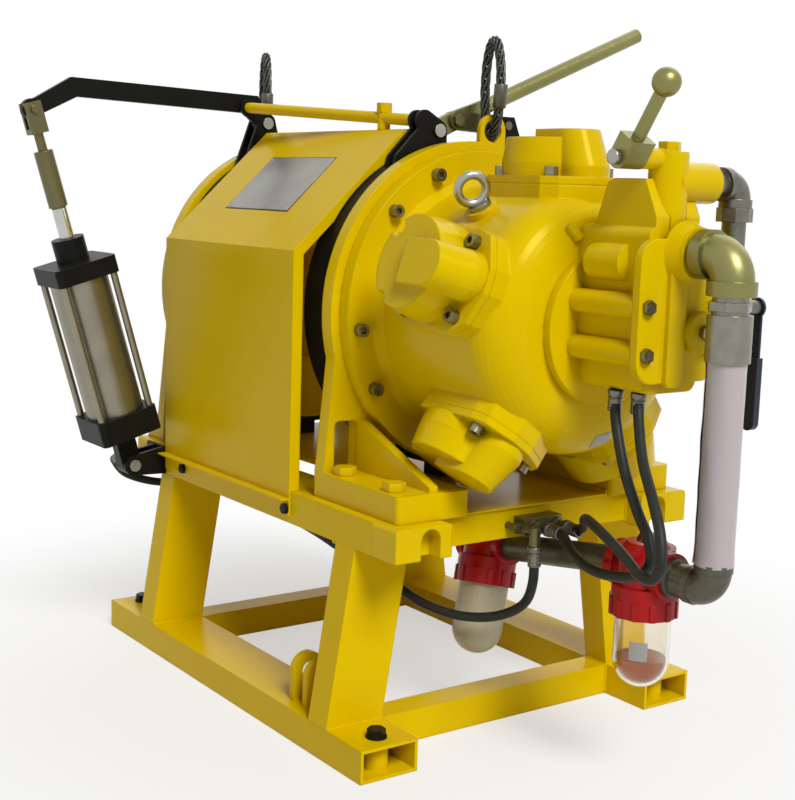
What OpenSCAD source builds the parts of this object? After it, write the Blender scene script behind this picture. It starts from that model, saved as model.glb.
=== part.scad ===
// Air winch: a radial piston air motor drives a cable drum between two cast
// pedestals on a welded skid. A hand band brake stands at the motor end of the
// drum and a band brake with a spring cylinder at the far end.
// X runs along the drum and points to the motor end, minus Y is the operator side
// with the drum guard, Z is up. The origin lies on the underside of the skid, in
// the middle of its four anchor holes.

/* [Skid] */
// Length of the base rails
rail_l = 850; // [810:10:900]
// Width of a frame tube
tube_w = 100; // [90:2:106]
// Height of a frame tube
tube_h = 50; // [44:1:56]
// Wall of a frame tube
tube_wall = 5; // [4:0.5:7]
// Width over the base rails
base_w = 665; // [640:5:690]
// Spacing of the anchor holes along a rail
anchor_pitch = 780; // [740:10:790]
// Diameter of the anchor bolts
anchor_d = 16; // [14:1:18]
// Width over the top beams
top_w = 580; // [570:2:590]
// Length of the top beams
top_l = 834; // [826:2:850]
// Height of the underside of the top beams
top_z = 318; // [300:2:330]
// Spacing of the two pairs of legs along the drum axis
leg_pitch = 580; // [540:10:600]
// Thickness of a leg along the drum axis
leg_t = 50; // [44:2:60]
// Thickness of the drip tray
tray_t = 3; // [2:0.5:4]

/* [Drum] */
// Height of the drum axis
axis_z = 652; // [646:1:658]
// Length over the drum with its two brake rims
drum_l = 510; // [500:2:516]
// Diameter of the cable barrel
barrel_d = 260; // [220:10:300]
// Diameter of the drum flanges
flange_d = 470; // [450:2:480]
// Thickness of a drum flange
flange_t = 16; // [12:1:20]
// Diameter of the brake rims
rim_d = 488; // [480:1:490]
// Width of a brake rim
rim_w = 62; // [58:1:66]
// Diameter of the drum shaft
shaft_d = 80; // [70:2:86]

/* [Pedestals] */
// Radius of the round top of a pedestal
ped_r = 265; // [260:1:270]
// Thickness of the pedestal wall
ped_t = 25; // [20:1:30]
// Height of a pedestal foot
foot_t = 40; // [34:1:44]
// Width of a pedestal foot across the winch
foot_w = 129; // [120:1:136]
// Length of a motor end foot along the drum axis
foot_l = 222; // [200:2:230]

/* [Motor] */
// Radius of the crankcase
case_r = 195; // [188:1:200]
// Length of the crankcase
case_l = 305; // [300:1:312]
// Distance from the axis to the top of a cylinder head
head_top_r = 280; // [270:1:286]
// Length of a head flange along the drum axis
head_l = 162; // [156:1:166]
// Width of a head flange
head_w = 150; // [140:2:156]
// Diameter of the round cover of a head
cover_d = 148; // [136:2:152]
// Length of the valve housing at the end of the motor
valve_l = 135; // [125:1:145]

/* [Brakes] */
// Thickness of a brake band
band_t = 5; // [4:0.5:6]
// Thickness of a brake lining
lining_t = 7; // [6:0.5:8]
// Length of the hand brake lever from pivot to tip
lever_l = 472; // [420:4:520]
// Diameter of the hand brake lever tube
lever_d = 24; // [20:1:28]
// Rise of the hand brake lever above level
lever_rise = 22.9; // [16:0.1:40]
// Diameter of the brake pivot pins
pin_d = 14; // [12:1:16]
// Side of the square caps of the brake cylinder
cyl_cap = 112; // [104:2:116]
// Diameter of the brake cylinder barrel
cyl_d = 100; // [88:2:102]
// Diameter of the piston rod
rod_d = 25; // [20:1:28]

/* [Guard] */
// Width of the drum guard
guard_w = 431; // [420:1:435]
// Thickness of the guard sheet
guard_t = 3; // [2:0.5:4]

/* [Air line] */
// Diameter of the main air pipe
pipe_d = 48; // [44:1:52]
// Diameter of the pipe between filter and lubricator
line_d = 42; // [38:1:44]
// Diameter of the filter and lubricator bowls
bowl_d = 80; // [74:1:84]
// Diameter of the throttle lever ball
ball_d = 38; // [34:1:44]
// Diameter of the pilot hoses
hose_d = 15; // [12:1:16]
// Diameter of the wire rope of the lifting slings
rope_d = 16; // [12:1:18]

/* [Hidden] */
$fn = 48;

// Overrun of a cut past a face
cut = 2;
// Running clearance of a pin or shaft, on the radius
run_c = 0.05;
// Clearance of a bolt in its hole, on the radius
bolt_c = 1;
// Gap between parts that turn past each other
swing_c = 1;
// Gap of a brake lining from its rim while the brake is off
lining_c = 1;
// Small seat gap
seat_c = 0.3;
// Number of flats on a hexagon
hex_n = 6;
// Quarter turn
right_a = 90;

// Places along the drum axis
drum_gap = 5;
ped_x = 190;
drum_x1 = ped_x - drum_gap;
drum_x0 = drum_x1 - drum_l;
far_x = drum_x0 - drum_gap;
flange_x = ped_x + ped_t;
head_x = flange_x + 187;
case_x1 = flange_x + case_l;
cover_x = case_x1 + valve_l;
cover_t = 13;
cover_x1 = cover_x + cover_t;
top_x = 17;
beam_top = top_z + tube_h;
near_x1 = top_x + top_l/2;
far_x0 = top_x - top_l/2;
hand_x = drum_x1 - 17;
auto_x = drum_x0 + 23;
foot_y = top_w/2 - 18;
foot_y0 = foot_y - foot_w;

// Helpers: an extrusion along X with its outline in the YZ plane, an extrusion
// along Y with its outline in the XZ plane, and cylinders along X and Y
module yz(x0, t) translate([x0, 0, 0]) rotate([right_a, 0, right_a]) linear_extrude(t) children();
module xz(y0, t) translate([0, y0 + t, 0]) rotate([right_a, 0, 0]) linear_extrude(t) children();
module rod_x(x0, l, d) translate([x0, 0, 0]) rotate([0, right_a, 0]) cylinder(h = l, d = d);
module rod_y(y0, l, d) translate([0, y0 + l, 0]) rotate([right_a, 0, 0]) cylinder(h = l, d = d);
module rrect(x, y, r) {
  square([x - 2*r, y], center = true);
  square([x, y - 2*r], center = true);
  for (i = [-1, 1], j = [-1, 1]) translate([i*(x/2 - r), j*(y/2 - r)]) circle(r);
}
// Ring along X made of an outer and an inner diameter
module ring_x(x0, l, d1, d2) difference() {
  rod_x(x0, l, d1);
  rod_x(x0 - cut, l + 2*cut, d2);
}
// Hexagon head bolt that stands on the plane z = 0 and whose shank reaches down
module bolt(d, shank) {
  cylinder(h = 0.65*d, d = 1.75*d, $fn = hex_n);
  translate([0, 0, -shank]) cylinder(h = shank + 0.1*d, d = d);
}
// Socket head bolt on the plane z = 0
module cap_bolt(d, shank) {
  difference() {
    cylinder(h = d, d = 1.5*d);
    translate([0, 0, 0.5*d]) cylinder(h = d, d = 0.85*d, $fn = hex_n);
  }
  translate([0, 0, -shank]) cylinder(h = shank + 0.1*d, d = d);
}
module washer(d, t) difference() {
  cylinder(h = t, d = 2*d);
  translate([0, 0, -cut]) cylinder(h = t + 2*cut, d = d + 2*bolt_c);
}

// Vector functions of the swept tubes
function unit(v) = v/norm(v);
function tangent(p, i) = unit(p[min(i + 1, len(p) - 1)] - p[max(i - 1, 0)]);
function carry(n, t) = unit(n - (n*t)*t);
function frames(p, n0, i = 0) = i >= len(p) ? [] :
  let (n = carry(n0, tangent(p, i))) concat([n], frames(p, n, i + 1));
// Tube swept along its route points, with k sides
module tube(p, d, k, n0) {
  m = len(p);
  f = frames(p, n0);
  pts = [for (i = [0:m - 1]) let (t = tangent(p, i), b = cross(t, f[i])) for (j = [0:k - 1])
    let (a = 360*j/k) p[i] + d/2*(cos(a)*f[i] + sin(a)*b)];
  side = [for (i = [0:m - 2], j = [0:k - 1])
    each [[i*k + j, (i + 1)*k + j, (i + 1)*k + (j + 1)%k], [i*k + j, (i + 1)*k + (j + 1)%k, i*k + (j + 1)%k]]];
  ends = [[for (j = [0:k - 1]) j], [for (j = [k - 1:-1:0]) (m - 1)*k + j]];
  polyhedron(pts, concat(side, ends));
}

/* Skid */
rail_y = base_w/2 - tube_w;
anchor_y = base_w/2 - tube_w/2;
sleeve_d = 2.25*anchor_d;
module rail(y0) {
  difference() {
    union() {
      difference() {
        translate([-rail_l/2, y0, 0]) cube([rail_l, tube_w, tube_h]);
        translate([-rail_l/2 - cut, y0 + tube_wall, tube_wall])
          cube([rail_l + 2*cut, tube_w - 2*tube_wall, tube_h - 2*tube_wall]);
      }
      for (i = [-1, 1]) translate([i*anchor_pitch/2, y0 + tube_w/2, 0]) cylinder(h = tube_h, d = sleeve_d);
    }
    for (i = [-1, 1]) translate([i*anchor_pitch/2, y0 + tube_w/2, -cut])
      cylinder(h = tube_h + 2*cut, d = anchor_d + 2*bolt_c);
  }
}
module rail_front() color("gold") rail(-base_w/2);
module rail_rear() color("gold") rail(rail_y);

leg_x = [top_x - leg_pitch/2 - leg_t/2, top_x + leg_pitch/2 - leg_t/2];
module base_cross_members() color("gold") for (x = leg_x) difference() {
  translate([x, -rail_y, 0]) cube([leg_t, 2*rail_y, tube_h]);
  translate([x + tube_wall, -rail_y - cut, tube_wall])
    cube([leg_t - 2*tube_wall, 2*rail_y + 2*cut, tube_h - 2*tube_wall]);
}

// Each leg leans inward from the outside of the base rail to the top beam
leg_top_y = top_w/2;
module leg_outline(wall) polygon([
  [base_w/2 - wall, tube_h - (wall > 0 ? cut : 0)], [base_w/2 - tube_w + wall, tube_h - (wall > 0 ? cut : 0)],
  [leg_top_y - tube_w + wall, top_z + (wall > 0 ? cut : 0)], [leg_top_y - wall, top_z + (wall > 0 ? cut : 0)]]);
module legs() color("gold") for (x = leg_x, s = [0, 1]) mirror([0, s, 0]) difference() {
  yz(x, leg_t) leg_outline(0);
  yz(x + tube_wall, leg_t - 2*tube_wall) leg_outline(tube_wall);
}

// Top beams with cast corner pads, whose arched slot opens downward
pad_l = 60;
pad_slot_w = 34;
pad_slot_depth = 26;
pad_round = 7;
module top_beams() color("gold") for (s = [0, 1]) mirror([0, s, 0]) difference() {
  translate([far_x0 + pad_l, -top_w/2, top_z]) cube([top_l - 2*pad_l, tube_w, tube_h]);
  translate([far_x0 + pad_l - cut, -top_w/2 + tube_wall, top_z + tube_wall])
    cube([top_l - 2*pad_l + 2*cut, tube_w - 2*tube_wall, tube_h - 2*tube_wall]);
  for (x = foot_bolt_near_x) translate([x, -foot_bolt_y, top_z - cut])
    cylinder(h = tube_h + 2*cut, d = foot_bolt_d + 2*bolt_c);
  for (x = foot_bolt_far_x) translate([x, -foot_bolt_y, top_z - cut])
    cylinder(h = tube_h + 2*cut, d = foot_bolt_d + 2*bolt_c);
}
module pad_outline() {
  difference() {
    union() {
      translate([-top_w/2, top_z]) square([tube_w, tube_h - pad_round]);
      translate([-top_w/2 + pad_round, top_z]) square([tube_w - 2*pad_round, tube_h]);
      for (y = [-top_w/2 + pad_round, -top_w/2 + tube_w - pad_round])
        translate([y, top_z + tube_h - pad_round]) circle(pad_round);
    }
  }
}
pad_slot_y = -top_w/2 + 0.62*tube_w;
module corner_pad(bolts) difference() {
  yz(near_x1 - pad_l, pad_l) pad_outline();
  yz(near_x1 - pad_slot_depth, pad_slot_depth + cut) union() {
    translate([pad_slot_y - pad_slot_w/2, top_z - cut]) square([pad_slot_w, 0.55*tube_h + cut]);
    translate([pad_slot_y, top_z + 0.55*tube_h]) circle(d = pad_slot_w);
  }
  for (x = bolts) translate([x, -foot_bolt_y, top_z - cut])
    cylinder(h = tube_h + 2*cut, d = foot_bolt_d + 2*bolt_c);
}
module corner_pads() color("gold") for (s = [0, 1]) mirror([0, s, 0]) {
  corner_pad(foot_bolt_near_x);
  translate([2*top_x, 0, 0]) mirror([1, 0, 0]) corner_pad([for (x = foot_bolt_far_x) 2*top_x - x]);
}

cross_h = tube_h - 4;
cross_near_x = near_x1 - 34 - leg_t;
cross_far_x = far_x0 + 34;
module top_cross_beams() color("gold") for (x = [cross_near_x, cross_far_x]) difference() {
  translate([x, -top_w/2 + tube_w, beam_top - cross_h]) cube([leg_t, top_w - 2*tube_w, cross_h]);
  translate([x + tube_wall, -top_w/2 + tube_w - cut, beam_top - cross_h + tube_wall])
    cube([leg_t - 2*tube_wall, top_w - 2*tube_w + 2*cut, cross_h - 2*tube_wall]);
}

// Tray under the drum and the motor, with a turned down front edge
tray_y = foot_y0 - swing_c;
tray_x1 = cross_near_x + leg_t + tube_wall;
tray_lip = 9;
module drip_tray() color("gold") {
  translate([cross_far_x, -tray_y, beam_top]) cube([tray_x1 - cross_far_x, 2*tray_y, tray_t]);
  for (s = [0, 1]) mirror([0, s, 0]) translate([cross_far_x, -tray_y, beam_top])
    cube([tray_x1 - cross_far_x, tray_t, tray_lip]);
}

// Pair of tie down ears on the front rail beside the near leg
ear_t = 12;
ear_gap = 26;
ear_w = 56;
ear_hole_d = 24;
ear_rise = 46;
ear_y = -base_w/2 + 0.5*tube_w;
module tie_down_lugs() color("gold") for (i = [0, 1])
  yz(leg_x[1] - 2*ear_gap - i*(ear_gap + ear_t), ear_t) difference() {
    union() {
      translate([ear_y, tube_h + ear_rise]) circle(d = ear_w);
      translate([ear_y - ear_w/2, tube_h]) square([ear_w, ear_rise]);
    }
    translate([ear_y, tube_h + ear_rise]) circle(d = ear_hole_d);
  }

washer_t = 3;
module anchor_bolts() color("dimgray") for (x = [-1, 1], y = [-1, 1])
  translate([x*anchor_pitch/2, y*anchor_y, tube_h]) {
    translate([0, 0, washer_t]) bolt(anchor_d, tube_h + washer_t - cut);
    washer(anchor_d, washer_t);
  }

/* Pedestals */
foot_bolt_d = 20;
foot_bolt_y = top_w/2 - 0.42*tube_w;
foot_bolt_near_x = [ped_x + 0.22*foot_l, ped_x + 0.8*foot_l];
far_foot_l = 70;
far_foot_t = 28;
foot_bolt_far_x = [far_x - ped_t - 0.5*(far_foot_l - ped_t)];
ped_waist = 10;
ped_round = 8;
boss_d = 190;
bearing_d = 125;
rib_t = 16;
window_w = 42;
window_h = 78;
lug_w = 52;
lug_hole_d = 34;
lug_rise = 35;
sling_near_y = 35;
sling_far_y = -57;
lug_t = 9;
near_lug_x = ped_x + 0.6*ped_t;
far_lug_x = far_x - 0.6*ped_t - lug_t;
// Upright outline: a round top on two legs that spread to the feet
module pedestal_outline() {
  difference() {
    union() {
      translate([0, axis_z]) circle(ped_r, $fn = 96);
      polygon([
        [-ped_r + ped_waist, axis_z], [-ped_r + ped_waist, axis_z - 0.24*ped_r], [-foot_y, beam_top + foot_t],
        [-foot_y, beam_top], [foot_y, beam_top], [foot_y, beam_top + foot_t],
        [ped_r - ped_waist, axis_z - 0.24*ped_r], [ped_r - ped_waist, axis_z]]);
    }
    // opening between the feet
    translate([-foot_y0, beam_top - cut]) square([2*foot_y0, foot_t + cut]);
    translate([0, beam_top + foot_t]) intersection() {
      circle(foot_y0);
      translate([-foot_y0, -cut]) square([2*foot_y0, 0.24*ped_r]);
    }
    // windows beside the feet
    for (s = [-1, 1]) translate([s*(foot_y - 0.31*foot_w), beam_top + foot_t + 0.5*window_h])
      rrect(window_w, window_h, ped_round);
    translate([0, axis_z]) circle(d = bearing_d + 2*run_c);
  }
}
// Upright lug on top of a pedestal, for a lifting sling
module lug(x, y) yz(x, lug_t) difference() {
  union() {
    translate([y - lug_w/2, axis_z + ped_r - 1.2*lug_rise]) square([lug_w, 1.7*lug_rise]);
    translate([y, axis_z + ped_r + 0.5*lug_rise]) circle(d = lug_w);
  }
  translate([y, axis_z + ped_r + 0.5*lug_rise]) circle(d = lug_hole_d);
}
module foot(x0, l, t) translate([x0, -foot_y, beam_top]) {
  translate([l/2, foot_w/2, 0]) linear_extrude(t) rrect(l, foot_w, ped_round);
}
// Gusset that falls from the wall to the end of the foot, under the flange and the heads of the motor
module gusset(h) xz(-foot_y + 0.465*foot_w, rib_t) polygon([
  [flange_x - cut, beam_top + foot_t - cut], [flange_x - cut, beam_top + foot_t + h],
  [flange_x + 0.02*foot_l, beam_top + foot_t + h], [ped_x + foot_l - ped_round, beam_top + foot_t + 0.1*h],
  [ped_x + foot_l - ped_round, beam_top + foot_t - cut]]);
gusset_h = 120;
flank_h = 78;
module motor_pedestal() color("gold") difference() {
  union() {
    yz(ped_x, ped_t) pedestal_outline();
    lug(near_lug_x, sling_near_y);
    for (s = [0, 1]) mirror([0, s, 0]) {
      foot(ped_x, foot_l, foot_t);
      gusset(flank_h);
    }
    translate([0, 0, axis_z]) ring_x(ped_x, ped_t, boss_d, bearing_d + 2*run_c);
  }
  for (s = [-1, 1], x = foot_bolt_near_x) translate([x, s*foot_bolt_y, beam_top - cut])
    cylinder(h = foot_t + 2*cut, d = foot_bolt_d + 2*bolt_c);
}
far_wall_x = far_x - ped_t;
bearing_cap_t = 16;
module far_pedestal() color("gold") difference() {
  union() {
    yz(far_wall_x, ped_t) pedestal_outline();
    lug(far_lug_x, sling_far_y);
    for (s = [0, 1]) mirror([0, s, 0]) {
      foot(far_wall_x - far_foot_l + ped_t, far_foot_l, far_foot_t);
      xz(-foot_y0 - rib_t, rib_t) polygon([
        [far_wall_x + cut, beam_top + far_foot_t - cut], [far_wall_x + cut, beam_top + foot_t + gusset_h],
        [far_wall_x - far_foot_l + ped_t + ped_round, beam_top + far_foot_t - cut]]);
    }
    translate([0, 0, axis_z]) ring_x(far_wall_x - bearing_cap_t, bearing_cap_t + cut, boss_d, bearing_d + 2*run_c);
    // closed end cap over the bearing
    translate([0, 0, axis_z]) rod_x(far_wall_x - 2*bearing_cap_t, bearing_cap_t + run_c, boss_d);
  }
  for (s = [-1, 1], x = foot_bolt_far_x) translate([x, s*foot_bolt_y, beam_top - cut])
    cylinder(h = foot_t + 2*cut, d = foot_bolt_d + 2*bolt_c);
}
module foot_bolts() color("goldenrod") for (s = [-1, 1]) {
  for (x = foot_bolt_near_x) translate([x, s*foot_bolt_y, beam_top + foot_t]) {
    bolt(foot_bolt_d, foot_t + tube_h + 0.9*foot_bolt_d);
    translate([0, 0, -foot_t - tube_h - 0.8*foot_bolt_d])
      cylinder(h = 0.8*foot_bolt_d, d = 1.75*foot_bolt_d, $fn = hex_n);
  }
  for (x = foot_bolt_far_x) translate([x, s*foot_bolt_y, beam_top + far_foot_t]) {
    bolt(foot_bolt_d, far_foot_t + tube_h + 0.9*foot_bolt_d);
    translate([0, 0, -far_foot_t - tube_h - 0.8*foot_bolt_d])
      cylinder(h = 0.8*foot_bolt_d, d = 1.75*foot_bolt_d, $fn = hex_n);
  }
}

/* Drum with its shaft and bearings */
hub_d = 120;
rim_t = 12;
barrel_t = 14;
near_face = drum_x1 - rim_w;
far_face = drum_x0 + rim_w;
module drum_outline() {
  difference() {
    union() {
      translate([shaft_d/2 + run_c, drum_x0]) square([hub_d/2 - shaft_d/2 - run_c, drum_l]);
      translate([barrel_d/2 - barrel_t, far_face]) square([barrel_t, near_face - far_face]);
      for (x = [far_face, near_face - flange_t]) translate([shaft_d/2 + run_c, x])
        square([flange_d/2 - shaft_d/2 - run_c, flange_t]);
      for (x = [drum_x0, near_face - flange_t]) translate([rim_d/2 - rim_t, x])
        square([rim_t, rim_w + flange_t]);
      // fillets between barrel and flanges
      for (x = [far_face + flange_t, near_face - flange_t]) translate([barrel_d/2, x])
        rotate(45) square(barrel_t, center = true);
    }
  }
}
module drum() color("darkgoldenrod") translate([0, 0, axis_z]) difference() {
  rotate([0, right_a, 0]) rotate_extrude($fn = 96) drum_outline();
  // hole of the rope clamp in the far flange
  translate([far_face - cut, 0.5*barrel_d + barrel_t + rope_d, 0])
    rotate([0, right_a, 0]) cylinder(h = flange_t + 2*cut, d = rope_d + 2*bolt_c);
}
shaft_x0 = far_wall_x;
shaft_x1 = flange_x - swing_c;
module drum_shaft() color("silver") translate([0, 0, axis_z]) {
  rod_x(shaft_x0, shaft_x1 - shaft_x0, shaft_d);
}
module shaft_bearings() color("lightslategray") translate([0, 0, axis_z])
  for (x = [far_wall_x, ped_x]) difference() {
    rod_x(x, ped_t - swing_c, bearing_d);
    rod_x(x - cut, ped_t + 2*cut, shaft_d + 2*run_c);
    // race groove
    translate([-cut, 0, 0]) ring_x(x, 2*cut, 0.9*bearing_d, 0.78*bearing_d);
  }

/* Brake bands */
lining_r = rim_d/2 + lining_c;
band_r = lining_r + lining_t;
band_out = band_r + band_t;
band_w = rim_w - 6;
ear = 6;
hand_gap = 14;
// Band with an open wedge at the top, from angle a0 to angle a1 seen along minus X
module open_ring(x, r1, r2, a0, a1) difference() {
  translate([0, 0, axis_z]) ring_x(x, band_w, 2*r2, 2*r1);
  yz(x - cut, band_w + 2*cut) polygon([[0, axis_z],
    [1.5*r2*cos(a0), axis_z + 1.5*r2*sin(a0)], [1.5*r2*cos(a1), axis_z + 1.5*r2*sin(a1)]]);
}
hand_a0 = 80;
hand_a1 = 95;
auto_a0 = 86;
auto_a1 = 97;
hand_band_x = drum_x1 - 3 - band_w;
auto_band_x = drum_x0 + 3;
// Pivot of the hand lever, bolt of its link and slot of the rear band end, in the
// YZ plane of the lever, counted from the drum axis
hand_p = [-48, 280];
hand_b = [-9, 298];
hand_f = [88, 294];
slot_l = 12;
slot_c = 0.6;
tie_near = [-75, 295];
tie_far = [-128, 324];
tie_d = 19;
auto_p = [-90, 298];
auto_e = [-529, 299];
anchor_w = 40;
module at_axis() translate([0, 0, axis_z]) children();
// Foot of a band on the tray
module band_foot(x) translate([x + (band_w - anchor_w)/2, -anchor_w/2, beam_top + tray_t])
  cube([anchor_w, anchor_w, axis_z - band_r - beam_top - tray_t - 0.5*band_t]);
module slot_hole(p, d) hull() {
  translate(p) circle(d = d, $fn = 32);
  translate(p - [slot_l, 0]) circle(d = d, $fn = 32);
}
module hand_ear(x) translate([0, 0, axis_z]) yz(x, ear) difference() {
  union() {
    hull() {
      translate(hand_p) circle(d = 2.3*pin_d, $fn = 32);
      translate(tie_near) circle(d = 1.7*tie_d, $fn = 32);
      translate([hand_p[0], band_r - pin_d]) circle(d = 2.3*pin_d, $fn = 32);
    }
    polygon([[-0.52*band_out, 0.86*band_out], [-0.5*band_out, 0.93*band_out], [tie_near[0], tie_near[1]],
      [hand_p[0], 0.95*band_r]]);
  }
  circle(band_r + 0.5*band_t, $fn = 96);
  translate(hand_p) circle(d = pin_d + 2*run_c);
}
rear_ear_out = 17;
module hand_rear_ear(x) translate([0, 0, axis_z]) yz(x, ear) difference() {
  polygon([[0.2*band_out, 0.9*band_out], [0.22*band_out, 1.2*band_out], [0.4*band_out, 1.2*band_out],
    [0.55*band_out, 0.85*band_out], [0.5*band_out, 0.8*band_out]]);
  circle(band_r + 0.5*band_t, $fn = 96);
  slot_hole(hand_f, pin_d + 2*slot_c);
}
module hand_brake_band() color("#1c1c1e") {
  open_ring(hand_band_x, band_r, band_out, hand_a0, hand_a1);
  for (x = [hand_x - 0.5*hand_gap - ear, hand_x + 0.5*hand_gap]) hand_ear(x);
  for (x = [hand_x - rear_ear_out, hand_x + rear_ear_out - ear]) hand_rear_ear(x);
  band_foot(hand_band_x);
}
module auto_ear(x, tie) translate([0, 0, axis_z]) yz(x, ear) difference() {
  union() {
    hull() {
      translate(auto_p) circle(d = 2.6*pin_d, $fn = 32);
      translate([auto_p[0] + pin_d, 0.93*band_r]) circle(d = 2.6*pin_d, $fn = 32);
      translate([auto_p[0] - 2*pin_d, 0.88*band_r]) circle(d = 2.6*pin_d, $fn = 32);
    }
    if (tie) hull() {
      translate(auto_p) circle(d = 2*pin_d, $fn = 32);
      translate(tie_far) circle(d = 1.7*tie_d, $fn = 32);
    }
  }
  circle(band_r + 0.5*band_t, $fn = 96);
  translate(auto_p) circle(d = pin_d + 2*run_c);
}
auto_gap = 24;
module auto_brake_band() color("#1c1c1e") {
  open_ring(auto_band_x, band_r, band_out, auto_a0, auto_a1);
  auto_ear(auto_x - 0.5*auto_gap - ear, false);
  auto_ear(auto_x + 0.5*auto_gap, true);
  band_foot(auto_band_x);
  // rear band end with its lug
  translate([0, 0, axis_z]) yz(auto_x - ear, 2*ear) difference() {
    polygon([[0.1*band_out, 0.9*band_out], [0.1*band_out, 1.12*band_out], [0.2*band_out, 1.12*band_out],
      [0.32*band_out, 0.9*band_out]]);
    circle(band_r + 0.5*band_t, $fn = 96);
  }
}
module brake_linings() color("dimgray") {
  open_ring(hand_band_x, lining_r, band_r, hand_a0, hand_a1);
  open_ring(auto_band_x, lining_r, band_r, auto_a0, auto_a1);
}
head_t = 5;
module pin_x(x0, l, d, p) translate([0, p[0], axis_z + p[1]]) {
  rod_x(x0 - head_t, l + 2*head_t, d);
  rod_x(x0 - head_t, head_t, 1.5*d);
  rod_x(x0 + l, head_t, 1.5*d);
}
module brake_pins() color("silver") {
  pin_x(hand_x - 0.5*hand_gap - ear, hand_gap + 2*ear, pin_d, hand_p);
  pin_x(auto_x - 0.5*auto_gap - ear, auto_gap + 2*ear, pin_d, auto_p);
  translate([0, cyl_b[0], cyl_b[1] - axis_z])
    pin_x(auto_x - cyl_gap/2 - cyl_ear, cyl_gap + 2*cyl_ear, pin_d, [0, 0]);
}

// Tie bar between the two band brackets, with the bolt that holds the guard
tie_x0 = auto_x + 0.5*auto_gap + ear;
tie_x1 = hand_x - 0.5*hand_gap - ear;
tie_share = 0.83;
tie_v = [tie_x1 - tie_x0, tie_near[0] - tie_far[0], tie_near[1] - tie_far[1]];
tie_at = [tie_x0, tie_far[0], axis_z + tie_far[1]] + tie_share*tie_v;
module tie_bar() color("gold") {
  intersection() {
    translate([tie_x0, tie_far[0], axis_z + tie_far[1]] - tie_d*unit(tie_v))
      rotate([0, acos(tie_v[2]/norm(tie_v)), atan2(tie_v[1], tie_v[0])]) cylinder(h = norm(tie_v) + 2*tie_d, d = tie_d);
    translate([tie_x0, tie_far[0] - tie_d, axis_z + tie_near[1] - tie_d])
      cube([tie_x1 - tie_x0, tie_near[0] - tie_far[0] + 2*tie_d, tie_far[1] - tie_near[1] + 2*tie_d]);
  }
  translate([tie_at[0], tie_at[1], guard_top[1] + guard_t]) {
    cylinder(h = tie_at[2] - guard_top[1] + 0.5*tie_d, d = 1.1*tie_d);
    translate([0, 0, tie_at[2] - guard_top[1] + 0.3*tie_d])
      cylinder(h = 0.8*tie_d, d = 1.3*tie_d, $fn = hex_n);
  }
}

// Closed wire rope loops through the lugs on top of the pedestals
sling_h = 150;
sling_w = 38;
sling_turn = -18;
function loop_point(a) = [sling_w/2*sin(a)*(1 - 0.2*cos(a)), 0,
  sling_h/2*(1 - cos(a))*(0.7 + 0.15*(1 - cos(a)))];
module loop(d) {
  m = 16;
  k = 8;
  p = [for (i = [0:m - 1]) loop_point(360*i/m)];
  pts = [for (i = [0:m - 1]) let (t = unit(p[(i + 1)%m] - p[(i + m - 1)%m]), b = cross(t, [0, 1, 0]))
    for (j = [0:k - 1]) let (a = 360*j/k) p[i] + d/2*(cos(a)*[0, 1, 0] + sin(a)*b)];
  polyhedron(pts, [for (i = [0:m - 1], j = [0:k - 1]) each [
    [i*k + j, ((i + 1)%m)*k + j, ((i + 1)%m)*k + (j + 1)%k],
    [i*k + j, ((i + 1)%m)*k + (j + 1)%k, i*k + (j + 1)%k]]]);
}
module lifting_slings() color("#3a3a38") for (q = [[near_lug_x, sling_near_y, 0], [far_lug_x, sling_far_y, sling_turn]])
  translate([q[0] + lug_t/2, q[1], axis_z + ped_r + 0.5*lug_rise - lug_hole_d/2 + rope_d/2 + seat_c])
    rotate([0, 0, q[2]]) loop(rope_d);

/* Spring cylinder of the automatic brake */
cyl_b = [-top_w/2 - 62, top_z + 20];
cyl_v = [auto_e[0] - cyl_b[0], auto_e[1] + axis_z - cyl_b[1]];
cyl_len = norm(cyl_v);
cyl_tilt = atan2(-cyl_v[0], cyl_v[1]);
cyl_gap = 26;
cyl_ear = 7;
cyl_tang = 24;
cap_s0 = 59;
cap_h = 44;
top_cap_s = 347;
top_cap_h = 30;
gland_h = 41;
gland_d = 56;
cap_r = 10;
tie_rod_d = 12;
bore_d = 86;
piston_s = 290;
piston_t = 24;
sleeve_s = 473;
sleeve_l = 95;
sleeve_w = 32;
stud_d = 16;
fork_s = 598;
fork_w = 30;
fork_slot = 13;
arm_t = 12;
open_c = 1.2;
module along_cyl() translate([auto_x, cyl_b[0], cyl_b[1]]) rotate([cyl_tilt, 0, 0]) children();
module cylinder_bracket() color("#1c1c1e") difference() {
  union() {
    translate([auto_x - 45, -top_w/2 - cyl_ear, top_z]) cube([45 + cyl_gap/2 + cyl_ear, cyl_ear, tube_h]);
    for (x = [-cyl_gap/2 - cyl_ear, cyl_gap/2]) {
      yz(auto_x + x, cyl_ear) {
        translate(cyl_b) circle(d = 2.6*pin_d);
        polygon([[-top_w/2 - cut, top_z], [-top_w/2 - cut, top_z + tube_h], [cyl_b[0] + 0.2*pin_d, cyl_b[1] + 1.3*pin_d],
          [cyl_b[0] - 0.2*pin_d, cyl_b[1] - 1.3*pin_d]]);
      }
    }
  }
  translate([0, cyl_b[0], cyl_b[1]]) rod_x(auto_x - 2*cyl_gap, 4*cyl_gap, pin_d + 2*run_c);
}
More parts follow.
